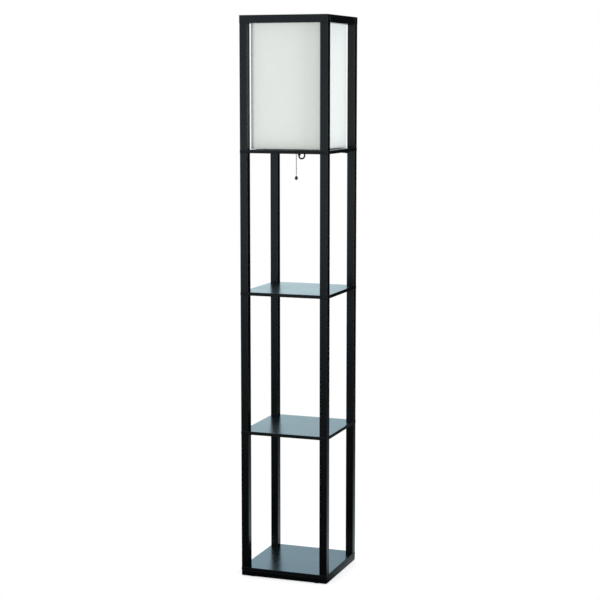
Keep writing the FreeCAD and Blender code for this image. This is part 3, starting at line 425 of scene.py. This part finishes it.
NODE_FINISHES = {
    "zinc_steel": ("threaded_inserts", "frame_studs", "base_bolts", "threaded_nipple", "nipple_nut"),
    "glide_plastic": ("floor_glides",),
    "shade_backing": ("shade_liner",),
    "white_wire": ("shade_frame",),
    "holder_brass": ("socket_cap", "socket_shell", "chain_guide", "centre_contact", "switch_drum",
                     "bulb_tip"),
    "fibre_board": ("socket_liner",),
    "dark_phenolic": ("socket_body",),
    "plain_aluminium": ("screw_shell", "bulb_cap"),
    "frosted_glass": ("bulb_glass",),
    "chain_nickel": ("chain_upper", "swing_bead", "chain_lower"),
    "knob_black": ("chain_knob",),
    "black_ferrule": ("chain_ferrule",),
    "cord_black": ("cord_bushing", "plug_body"),
    "clip_black": ("cord_clips",),
    "blade_brass": ("plug_blades",),
}
BOARD_NODES = ("base_panel", "lower_shelf", "upper_shelf", "lamp_panel")


def dress(node, material):
    """Gives a carried-over node its finish, in its own material slots."""
    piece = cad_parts[node]
    if not piece.material_slots:
        piece.data.materials.append(material)
    for held in piece.material_slots:
        held.material = material


def wood_for(node):
    """The lacquer of a wooden node, its grain along the piece, or None for any other node."""
    if node in BOARD_NODES:
        return BOARD
    if node.startswith("post_"):
        return UPRIGHT
    if node.endswith(("rail_left", "rail_right")):
        return DEEPWAYS
    if node.endswith(("rail_front", "rail_back")):
        return ACROSS
    return None


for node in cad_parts:
    if wood_for(node):
        dress(node, wood_for(node))
for name, nodes in NODE_FINISHES.items():
    for node in nodes:
        dress(node, FINISHES[name])


# ---- the cord, the tie round its coil and the sleeve at its plug ----

line = cord_line()

COIL_REACH = 30 * MM  # the whole coil lies within this of its centre
TIE_SIDE = 15 * MM  # the cord in the tie lies at least this far out
BETWEEN_TURNS = 5 * MM  # a level between the first turn and the second
TIE_WIDE = 3.6 * MM
TIE_THICK = 0.45 * MM
TIE_CLEAR = 0.05 * MM  # between the tie and the cord
TIE_SIDES = 28
TWIST_WIDE = 3.4 * MM
TWIST_THICK = 1.0 * MM
TWIST_STEPS = 16
TWIST_STEP = 0.9 * MM
TWIST_STEP_TURN = math.radians(32)
LEAN_UP, LEAN_ALONG, LEAN_OUT = 0.15, 0.9, 0.4  # the way the twisted ends lie


def coil_tie():
    """A flat plastic tie round both turns of the coil, its ends twisted together."""
    angle = coil_angle(TIE_TURN)
    out = Vector((math.cos(angle), math.sin(angle), 0.0))
    centre = Vector((COIL_CENTRE[0] * MM, COIL_CENTRE[1] * MM, 0.0))
    first_turn, second_turn = [], []
    for point in line:
        flat = Vector((point.x, point.y, 0.0)) - centre
        if flat.length < COIL_REACH and flat.dot(out) > TIE_SIDE:
            near = first_turn if point.z < BETWEEN_TURNS else second_turn
            near.append((abs(flat.cross(out).z), tuple(point)))
    low, high = Vector(min(first_turn)[1]), Vector(min(second_turn)[1])
    stack = (high - low).normalized()
    along = out.cross(Vector((0, 0, 1)))
    side = along.cross(stack)

    shape = bmesh.new()
    ring = bmesh.ops.create_circle(shape, cap_ends=False, segments=TIE_SIDES,
                                   radius=CORD_ACROSS / 2 + TIE_CLEAR)["verts"]
    for vert in ring:
        upper = vert.co.y > 0
        vert.co = (high if upper else low) + side * vert.co.x + stack * vert.co.y
    bmesh.ops.translate(shape, verts=ring, vec=-along * (TIE_WIDE / 2))
    moved, _ = extrude_edges(shape, shape.edges[:])
    bmesh.ops.translate(shape, verts=moved, vec=along * TIE_WIDE)
    bmesh.ops.recalc_face_normals(shape, faces=shape.faces[:])
    bmesh.ops.solidify(shape, geom=shape.faces[:], thickness=-TIE_THICK)

    root = high + stack * (CORD_ACROSS / 2)
    strip = bmesh.ops.create_grid(shape, x_segments=1, y_segments=1, size=0.5)["verts"]
    for vert in strip:
        vert.co = root + along * vert.co.x * TWIST_WIDE + side * vert.co.y * TWIST_THICK
    tip = list(strip[0].link_faces)
    lean = (stack * LEAN_UP + along * LEAN_ALONG - side * LEAN_OUT).normalized()
    for step in range(TWIST_STEPS):
        pushed = bmesh.ops.extrude_face_region(shape, geom=tip)["geom"]
        tip = only(bmesh.types.BMFace, pushed)
        verts = only(bmesh.types.BMVert, pushed)
        bmesh.ops.translate(shape, verts=verts, vec=lean * TWIST_STEP)
        hub = sum((v.co for v in verts), Vector()) / len(verts)
        bmesh.ops.rotate(shape, verts=verts, cent=hub, matrix=Matrix.Rotation(TWIST_STEP_TURN, 3, lean))
    bmesh.ops.recalc_face_normals(shape, faces=shape.faces[:])
    return new_piece("coil_tie", shape, "frame", FINISHES["clip_black"], smooth=False)


RELIEF_LONG = 23.5 * MM
RELIEF_HALF = 4.0  # mm, at the plug
RELIEF_TAPER = 1.5  # mm, over its length
RELIEF_RIBS = 8
RIB_STEPS = 4  # rings to a rib: two on the rib and two between
RIB_PROUD = 0.25  # mm
RIBS_END = 0.97  # past this share of its length the sleeve is plain
RELIEF_SIDES = 24


def plug_relief():
    """The ribbed, tapered sleeve on the cord's last stretch, which carries its bend into the plug."""
    stops, gone = [(0.0, line[-1])], 0.0
    for here, there in zip(line[::-1], line[-2::-1]):
        gone += (there - here).length
        stops.append((gone, there))

    def on_line(away):
        """The point of the cord's line this far from its end."""
        for (near, here), (far, there) in zip(stops, stops[1:]):
            if far >= away:
                return here.lerp(there, (away - near) / (far - near))
        return stops[-1][1]

    shape = bmesh.new()
    bmesh.ops.create_circle(shape, cap_ends=False, segments=RELIEF_SIDES, radius=1.0)
    verts, edges = shape.verts[:], shape.edges[:]
    ring = [vert.co.copy() for vert in verts]
    steps = RIB_STEPS * RELIEF_RIBS + 2
    for i in range(steps + 1):
        share = i / steps
        if i:
            verts, edges = extrude_edges(shape, edges)
        here = on_line(share * RELIEF_LONG)
        along = (on_line(share * RELIEF_LONG + 1 * MM) - here).normalized()
        side = along.cross(Vector((0, 0, 1))).normalized()
        on_rib = i % RIB_STEPS in (1, 2) and share < RIBS_END
        half = (RELIEF_HALF - RELIEF_TAPER * share + (RIB_PROUD if on_rib else 0.0)) * MM
        for vert, flat in zip(verts, ring):
            vert.co = here + (side * flat.x + along.cross(side) * flat.y) * half
    bmesh.ops.holes_fill(shape, edges=[edge for edge in shape.edges if edge.is_boundary], sides=0)
    bmesh.ops.recalc_face_normals(shape, faces=shape.faces[:])
    return new_piece("plug_relief", shape, "frame", FINISHES["cord_black"])


def make_cord():
    curve = cord_curve("power_cord", CORD_ACROSS)
    curve.data.materials.append(FINISHES["cord_black"])
    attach(curve, "frame")
    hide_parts("cord_loop", "cord_drop", "cord_coil")
    tie = coil_tie()
    plug_relief()


make_cord()


# ---- the cloth of the shade ----

SHADE_HALF = 105.5 * MM
SHADE_CORNER = 7.0 * MM
SHADE_FOOT = 1220.2 * MM
SHADE_TALL = 353.0 * MM
AROUND_SHADE = 8 * (SHADE_HALF - SHADE_CORNER) + 2 * math.pi * SHADE_CORNER
CORNER_STEPS = 10
SIDE_CUTS = 15
WALL_ROWS = 14  # between the hems
CLOTH_THICK = 0.8 * MM
CLOTH_OFF_LINER = 0.1 * MM  # left free behind the cloth
HEM_TALL = 7.0 * MM
HEM_PROUD = 0.45 * MM
HEM_FOLD = 0.7 * MM  # from the cloth's end to the hem's full thickness
HEM_STEP = 1.0 * MM  # from the hem's full thickness to the plain wall
HEM_MARGIN = 0.5 * MM  # rows nearer than this to the hem's two edges aren't thickened
SEAM_MIDDLE = -82.0 * MM
SEAM_WIDE = 12 * MM
SEAM_OFF_CLOTH = 0.05 * MM
SEAM_THICK = 0.45 * MM
SEAM_COLUMNS, SEAM_ROWS = 4, 20
SEAM_SHORT = 1 * MM  # than the wall between the hems


def way_round(x, y):
    """Distance round the shade from the middle of its back, for the weave."""
    flat = SHADE_HALF - SHADE_CORNER
    turn = math.atan2(x, y)
    side = round(turn / (math.pi / 2))
    c, s = math.cos(side * math.pi / 2), math.sin(side * math.pi / 2)
    across, out = c * x - s * y, s * x + c * y
    bend = max(abs(across) - flat, 0.0)
    if bend:
        angle = math.atan2(bend, max(out - flat, 1e-9))
        across = math.copysign(flat + SHADE_CORNER * angle, across)
    return (side % 4) * AROUND_SHADE / 4 + across


def lay_weave(shape):
    """Lays the weave's coordinates round the shade, in metres, without a break where it closes."""
    uv = shape.loops.layers.uv.new("weave")
    for face in shape.faces:
        middle = face.calc_center_median()
        here = way_round(middle.x, middle.y)
        for loop in face.loops:
            u = way_round(loop.vert.co.x, loop.vert.co.y)
            if u - here > AROUND_SHADE / 2:
                u -= AROUND_SHADE
            elif here - u > AROUND_SHADE / 2:
                u += AROUND_SHADE
            loop[uv].uv = (u, loop.vert.co.z)


def shade_cloth():
    """A rounded square wall of cloth with a rolled hem at its top and foot."""
    shape = bmesh.new()
    corners = bmesh.ops.create_circle(shape, cap_ends=False, segments=4,
                                      radius=SHADE_HALF * math.sqrt(2))["verts"]
    bmesh.ops.rotate(shape, verts=corners, matrix=Matrix.Rotation(math.pi / 4, 3, "Z"))
    bmesh.ops.bevel(shape, geom=corners, offset=SHADE_CORNER, offset_type="OFFSET", affect="VERTICES",
                    segments=CORNER_STEPS, profile=0.5, material=-1)
    long_edges = [e for e in shape.edges if e.calc_length() > 2 * SHADE_CORNER]
    bmesh.ops.subdivide_edges(shape, edges=long_edges, cuts=SIDE_CUTS)
    bmesh.ops.translate(shape, verts=shape.verts[:], vec=(0, 0, SHADE_FOOT))
    wall = SHADE_TALL - 2 * HEM_TALL
    rows = [HEM_FOLD, HEM_TALL - HEM_STEP, HEM_TALL]
    rows += [HEM_TALL + wall * i / WALL_ROWS for i in range(1, WALL_ROWS + 1)]
    rows += [SHADE_TALL - HEM_TALL + HEM_STEP, SHADE_TALL - HEM_FOLD, SHADE_TALL]
    level = 0.0
    edges = shape.edges[:]
    for row in rows:
        verts, edges = extrude_edges(shape, edges)
        bmesh.ops.translate(shape, verts=verts, vec=(0, 0, row - level))
        level = row
    bmesh.ops.recalc_face_normals(shape, faces=shape.faces[:])
    flat = Vector((1, 1, 0))
    inward = [face for face in shape.faces if face.normal.dot(face.calc_center_median() * flat) < 0]
    bmesh.ops.reverse_faces(shape, faces=inward)
    shape.normal_update()
    for vert in shape.verts:
        height = vert.co.z - SHADE_FOOT
        from_end = min(height, SHADE_TALL - height)
        if HEM_MARGIN < from_end < HEM_TALL - HEM_MARGIN:
            vert.co += (vert.normal * flat).normalized() * HEM_PROUD
    lay_weave(shape)
    cloth = new_piece("shade_cloth", shape, "frame", LINEN)
    thickness = cloth.modifiers.new("thickness", "SOLIDIFY")
    thickness.thickness = CLOTH_THICK - CLOTH_OFF_LINER
    thickness.offset = -1.0
    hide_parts("shade_fabric")
    return cloth


def shade_seam():
    """The lapped end of the cloth, glued down at the back of the shade."""
    shape = bmesh.new()
    bmesh.ops.create_grid(shape, x_segments=SEAM_COLUMNS, y_segments=SEAM_ROWS, size=0.5)
    tall = SHADE_TALL - 2 * HEM_TALL - SEAM_SHORT
    for vert in shape.verts:
        vert.co = Vector((SEAM_MIDDLE + vert.co.x * SEAM_WIDE, SHADE_HALF + SEAM_OFF_CLOTH,
                          SHADE_FOOT + SHADE_TALL / 2 + vert.co.y * tall))
    bmesh.ops.recalc_face_normals(shape, faces=shape.faces[:])
    if next(iter(shape.faces)).normal.y < 0:
        bmesh.ops.reverse_faces(shape, faces=shape.faces[:])
    bmesh.ops.solidify(shape, geom=shape.faces[:], thickness=-SEAM_THICK)
    uv = shape.loops.layers.uv.new("weave")
    for face in shape.faces:
        for loop in face.loops:
            loop[uv].uv = (loop.vert.co.x, loop.vert.co.z)
    return new_piece("shade_seam", shape, "frame", LINEN, smooth=False)


# ---- the turned knob and the base bolts ----

KNOB_OUTLINE = [  # out from the axis and up from the knob's foot, in mm
    (0.9, 0.5), (1.5, 0.15), (2.6, 0.9), (4.0, 2.9), (4.85, 4.9), (5.05, 6.0), (4.7, 7.4), (3.5, 9.3),
    (2.1, 11.0), (1.4, 11.85), (0.9, 11.7), (0.55, 11.0),
]
KNOB_SIDES = 24
SAME_POINT = 1e-7


def turned(outline, steps):
    """A shape turned from an outline round the Z axis, closed at its two ends."""
    shape = bmesh.new()
    verts = [shape.verts.new((out, 0.0, up)) for out, up in outline]
    edges = [shape.edges.new(pair) for pair in zip(verts, verts[1:])]
    bmesh.ops.spin(shape, geom=verts + edges, axis=(0, 0, 1), cent=(0, 0, 0), steps=steps,
                   angle=math.tau, use_merge=True)
    bmesh.ops.remove_doubles(shape, verts=shape.verts[:], dist=SAME_POINT)
    rims = [edge for edge in shape.edges if edge.is_boundary]
    bmesh.ops.holes_fill(shape, edges=rims, sides=0)
    bmesh.ops.recalc_face_normals(shape, faces=shape.faces[:])
    return shape


def pull_knob():
    """The knob, turned like a spindle bead, with the hole that the chain goes into."""
    low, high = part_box("chain_knob")
    shape = turned([(out * MM, up * MM) for out, up in KNOB_OUTLINE], KNOB_SIDES)
    middle = ((low[0] + high[0]) / 2, (low[1] + high[1]) / 2, low[2])
    bmesh.ops.translate(shape, verts=shape.verts[:], vec=middle)
    knob = new_piece("turned_knob", shape, "pendant", FINISHES["knob_black"])
    smooth = knob.modifiers.new("smooth", "SUBSURF")
    smooth.levels = smooth.render_levels = 2
    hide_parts("chain_knob")


HEAD_HALF = 5.5 * MM
HEAD_TALL = 4.0 * MM
HEAD_FLAT_HALF = HEAD_HALF - 0.8 * MM  # the flat ring round the hexagon socket
HEAD_ROUND_HALF = HEAD_HALF - 0.15 * MM
HEAD_ROUND_TALL = 0.5 * MM
HEAD_EDGE = 0.25 * MM
HEAD_SEAT_EDGE = 0.35 * MM
SHANK_HALF = 3.0 * MM
SHANK_FILLET = 0.25 * MM
SHANK_POINT_TALL = 1.0 * MM
SHANK_POINT_HALF = SHANK_HALF - 0.9 * MM
KEY_HALF = 2.9 * MM  # from the axis to the hexagon's corners
KEY_DEEP = 2.2 * MM
KEY_CONE = 0.5 * MM
KEY_CONE_SHRINK = 0.04
KEY_CUTS = 5  # on each side of the hexagon, so that circles can follow it


def socket_bolts():
    """The four base bolts: a round head with a hexagon socket, and a shank with a pointed end."""
    low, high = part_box("base_bolts")
    middle = high[0] - HEAD_HALF
    tall = high[2] - low[2]
    shape = bmesh.new()
    bmesh.ops.create_circle(shape, cap_ends=False, segments=6, radius=KEY_HALF)
    bmesh.ops.subdivide_edges(shape, edges=shape.edges[:], cuts=KEY_CUTS)
    socket = shape.edges[:]

    def pull(edges, up=0.0, half=None, factor=None):
        """Extrudes a ring of edges, moves it up, and makes it a circle or scales it."""
        verts, pulled = extrude_edges(shape, edges)
        for vert in verts:
            flat = Vector((vert.co.x, vert.co.y))
            if half:
                flat *= half / flat.length
            elif factor:
                flat *= factor
            vert.co = (flat.x, flat.y, vert.co.z + up)
        return pulled

    well = pull(pull(socket, KEY_DEEP), KEY_CONE, factor=KEY_CONE_SHRINK)
    bmesh.ops.edgeloop_fill(shape, edges=well)
    rim = pull(pull(socket, half=HEAD_FLAT_HALF), HEAD_ROUND_TALL, half=HEAD_ROUND_HALF)
    straight = HEAD_TALL - HEAD_ROUND_TALL - HEAD_EDGE - HEAD_SEAT_EDGE
    side = pull(pull(rim, HEAD_EDGE, half=HEAD_HALF), straight)
    seat = pull(pull(side, HEAD_SEAT_EDGE, half=HEAD_HALF - HEAD_SEAT_EDGE), half=SHANK_HALF + SHANK_FILLET)
    root = pull(seat, SHANK_FILLET, half=SHANK_HALF)
    shank = pull(root, tall - HEAD_TALL - SHANK_FILLET - SHANK_POINT_TALL)
    tip = pull(shank, SHANK_POINT_TALL, half=SHANK_POINT_HALF)
    bmesh.ops.edgeloop_fill(shape, edges=tip)
    bmesh.ops.recalc_face_normals(shape, faces=shape.faces[:])
    one = shape.verts[:] + shape.edges[:] + shape.faces[:]
    for x, y in ((1, 1), (1, -1), (-1, 1)):
        copy = bmesh.ops.duplicate(shape, geom=one)["geom"]
        bmesh.ops.translate(shape, verts=only(bmesh.types.BMVert, copy), vec=(x * middle, y * middle, low[2]))
    bmesh.ops.translate(shape, verts=only(bmesh.types.BMVert, one), vec=(-middle, -middle, low[2]))
    bolts = new_piece("socket_bolts", shape, "frame", FINISHES["zinc_steel"], smooth=False)
    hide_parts("base_bolts")


cloth = shade_cloth()
seam = shade_seam()
pull_knob()
socket_bolts()


# ---- the studio ----

class Nodes:
    """The nodes of the floor's material or of the world, with short ways to add them."""

    def __init__(self, owner):
        owner.use_nodes = True
        self.nodes, self.links = owner.node_tree.nodes, owner.node_tree.links
        self.nodes.clear()

    def add(self, kind, inputs, **values):
        """A new node, its inputs set or linked; returns its first output, if it has one."""
        made = self.nodes.new(kind)
        for key, value in values.items():
            setattr(made, key, value)
        for socket, value in inputs.items():
            if isinstance(value, bpy.types.NodeSocket):
                self.links.new(value, made.inputs[socket])
            else:
                made.inputs[socket].default_value = value
        return made.outputs[0] if made.outputs else None

    def ranged(self, value, start, end, low=0.0, high=1.0, kind="LINEAR"):
        """Goes from low to high while value goes from start to end."""
        return self.add("ShaderNodeMapRange", {"Value": value, "From Min": start, "From Max": end,
                                               "To Min": low, "To Max": high}, interpolation_type=kind)

    def math(self, kind, first, second):
        return self.add("ShaderNodeMath", {0: first, 1: second}, operation=kind)

    def mix(self, share, first, second):
        """Shaders or numbers, from first to second."""
        if first.type == "SHADER":
            return self.add("ShaderNodeMixShader", {0: share, 1: first, 2: second})
        return self.add("ShaderNodeMix", {"Factor": share, NUMBER_A: first, NUMBER_B: second})

    def colours(self, share, first, second):
        """A colour from first to second, either of which may be the output of another node."""
        blend = self.nodes.new("ShaderNodeMix")
        blend.data_type = "RGBA"
        self.links.new(share, blend.inputs["Factor"])
        for socket, colour in ((COLOUR_A, first), (COLOUR_B, second)):
            if isinstance(colour, bpy.types.NodeSocket):
                self.links.new(colour, blend.inputs[socket])
            else:
                blend.inputs[socket].default_value = (*colour, 1.0)
        return blend.outputs[COLOUR_OUT]

    def split(self, kind):
        """The X, Y and Z of one kind of coordinate."""
        where = self.nodes.new("ShaderNodeTexCoord")
        parts = self.nodes.new("ShaderNodeSeparateXYZ")
        self.links.new(where.outputs[kind], parts.inputs[0])
        return parts.outputs

    def rays(self):
        """Whether a ray comes from the camera or through glass, and whether it comes from gloss."""
        path = self.nodes.new("ShaderNodeLightPath").outputs
        return self.math("MAXIMUM", path["Is Camera Ray"], path["Is Transmission Ray"]), path["Is Glossy Ray"]


FLOOR_RADIUS = 9.0
FLOOR_SIDES = 96
FLOOR_GREY = 0.80
FLOOR_LIFT = 0.5  # light that the floor gives off near the lamp, on top of what falls on it
WHITE_FROM, WHITE_AT = 0.14, 0.42  # between these distances from the lamp it turns plain white
FLOOR_TINT = (0.84, 1.0, 1.08)
FRONT_LEVEL, FRONT_POWER = 0.78, 1.4  # in front of the lamp the reflected floor brightens with distance
BACK_FALL = 0.31  # and behind it dims to this share with each metre
PAINTED_SHADE_LEVEL, PAINTED_SHADE_FROM, PAINTED_SHADE_AT = 0.33, 0.13, 0.32  # but is dimmer still beside the base, a painted shadow of the base on the reflected floor
FRONT_EDGE, BACK_EDGE = -0.12, 0.05  # along Y, the one passes into the other between these


def studio_floor():
    """A pale floor that keeps the lamp's shadow close by and runs out to plain white.

    In gloss it gives off its own dim light, so that the black lacquer stays black, and beside the base that
    light is darker, a painted shadow of the base.
    """
    shape = bmesh.new()
    bmesh.ops.create_circle(shape, cap_ends=True, segments=FLOOR_SIDES, radius=FLOOR_RADIUS)
    mesh = bpy.data.meshes.new("floor")
    shape.to_mesh(mesh)
    shape.free()
    ground = bpy.data.objects.new("floor", mesh)
    bpy.context.collection.objects.link(ground)
    material = bpy.data.materials.new("pale_floor")
    tree = Nodes(material)
    material.cycles.emission_sampling = "NONE"
    seen, gloss = tree.rays()
    x, y, _ = tree.split("Object")
    away = tree.math("SQRT", tree.math("ADD", tree.math("MULTIPLY", x, x), tree.math("MULTIPLY", y, y)), 0.0)
    lit = tree.add("ShaderNodeBsdfDiffuse", {"Color": (FLOOR_GREY, FLOOR_GREY, FLOOR_GREY, 1.0)})
    lift = tree.add("ShaderNodeEmission", {"Strength": FLOOR_LIFT})
    near = tree.add("ShaderNodeAddShader", {0: lit, 1: lift})
    white = tree.add("ShaderNodeEmission", {"Strength": 1.0})
    shown = tree.mix(tree.ranged(away, WHITE_FROM, WHITE_AT, kind="SMOOTHSTEP"), near, white)
    far = tree.math("POWER", tree.math("DIVIDE", away, FLOOR_RADIUS), FRONT_POWER)
    front = tree.math("MULTIPLY", far, FRONT_LEVEL)
    fall = tree.math("POWER", BACK_FALL, away)
    # painted shade: the reflected floor is darkened beside the base in place of the base's shadow
    back = tree.math("MULTIPLY", fall, tree.ranged(away, PAINTED_SHADE_FROM, PAINTED_SHADE_AT, PAINTED_SHADE_LEVEL, 1.0))
    behind = tree.ranged(y, FRONT_EDGE, BACK_EDGE, kind="SMOOTHSTEP")
    mirrored = tree.add("ShaderNodeEmission", {"Color": (*FLOOR_TINT, 1.0),
                                               "Strength": tree.mix(behind, front, back)})
    surface = tree.mix(gloss, tree.mix(seen, lit, shown), mirrored)
    tree.add("ShaderNodeOutputMaterial", {"Surface": surface})
    mesh.materials.append(material)


WORLD_WHITE = (1, 1, 1, 1)
AMBIENT_LEVEL = 0.45
RIGHT_EDGE, LEFT_EDGE, RIGHT_LEVEL = 0.10, -0.35, 0.008  # the wall is dark on the right
BELOW_LEVEL, ABOVE_LEVEL, HORIZON = 1.25, 0.8, 0.06  # in front it is brighter below the horizon
BEHIND_LEVEL, BEHIND_EDGE = 1.8, 0.4
FRONT_TINT = (0.80, 1.0, 1.14)
LOW_TINT, HIGH_TINT = (0.82, 1.0, 1.03), (0.60, 0.92, 1.12)
TINT_FROM, TINT_AT = 0.125, 0.29


def studio_world():
    """White to the camera. In gloss, a bright wall on the left, dimmer in front and dark on the right."""
    world = bpy.data.worlds.new("studio")
    bpy.context.scene.world = world
    tree = Nodes(world)
    world.cycles.sampling_method = "NONE"
    seen, gloss = tree.rays()
    x, y, z = tree.split("Generated")
    left = tree.ranged(x, RIGHT_EDGE, LEFT_EDGE, RIGHT_LEVEL, 1.0)
    ahead = tree.ranged(z, -HORIZON, HORIZON, BELOW_LEVEL, ABOVE_LEVEL)
    behind = tree.ranged(y, -BEHIND_EDGE, BEHIND_EDGE, kind="SMOOTHSTEP")
    level = tree.mix(behind, ahead, BEHIND_LEVEL)
    wall = tree.colours(tree.ranged(z, TINT_FROM, TINT_AT), LOW_TINT, HIGH_TINT)
    tint = tree.colours(behind, FRONT_TINT, wall)
    mirrored = tree.add("ShaderNodeBackground", {"Color": tint,
                                                 "Strength": tree.math("MULTIPLY", left, level)})
    ambient = tree.add("ShaderNodeBackground", {"Color": WORLD_WHITE, "Strength": AMBIENT_LEVEL})
    white = tree.add("ShaderNodeBackground", {"Color": WORLD_WHITE, "Strength": 1.0})
    tree.add("ShaderNodeOutputWorld", {"Surface": tree.mix(seen, tree.mix(gloss, ambient, mirrored), white)})


SHADE_MIDDLE = Vector((0.0, 0.0, 1.35))  # every lamp is aimed at it


def soft_lamp(name, place, size, watts, colour=(1, 1, 1), glare=True):
    """A square area light; without glare it isn't seen in gloss."""
    light = bpy.data.lights.new(name, "AREA")
    light.shape = "SQUARE"
    light.size = size
    light.energy = watts
    light.color = colour
    lamp = bpy.data.objects.new(name, light)
    lamp.location = place
    lamp.rotation_euler = (SHADE_MIDDLE - Vector(place)).to_track_quat("-Z", "Y").to_euler()
    lamp.visible_glossy = glare
    bpy.context.collection.objects.link(lamp)


studio_floor()
studio_world()
soft_lamp("right", (3.4, -0.7, 1.0), size=1.8, watts=80, colour=(0.97, 1.0, 1.06))
soft_lamp("front", (1.2, -3.7, 1.45), size=1.6, watts=26)
soft_lamp("front_left", (-1.65, -3.3, 1.45), size=0.7, watts=37, glare=False)
soft_lamp("top", (0.0, 0.6, 3.8), size=2.0, watts=20)
soft_lamp("behind", (-1.6, 3.6, 1.6), size=1.6, watts=40, glare=False)

bpy.context.scene.view_settings.view_transform = "Standard"
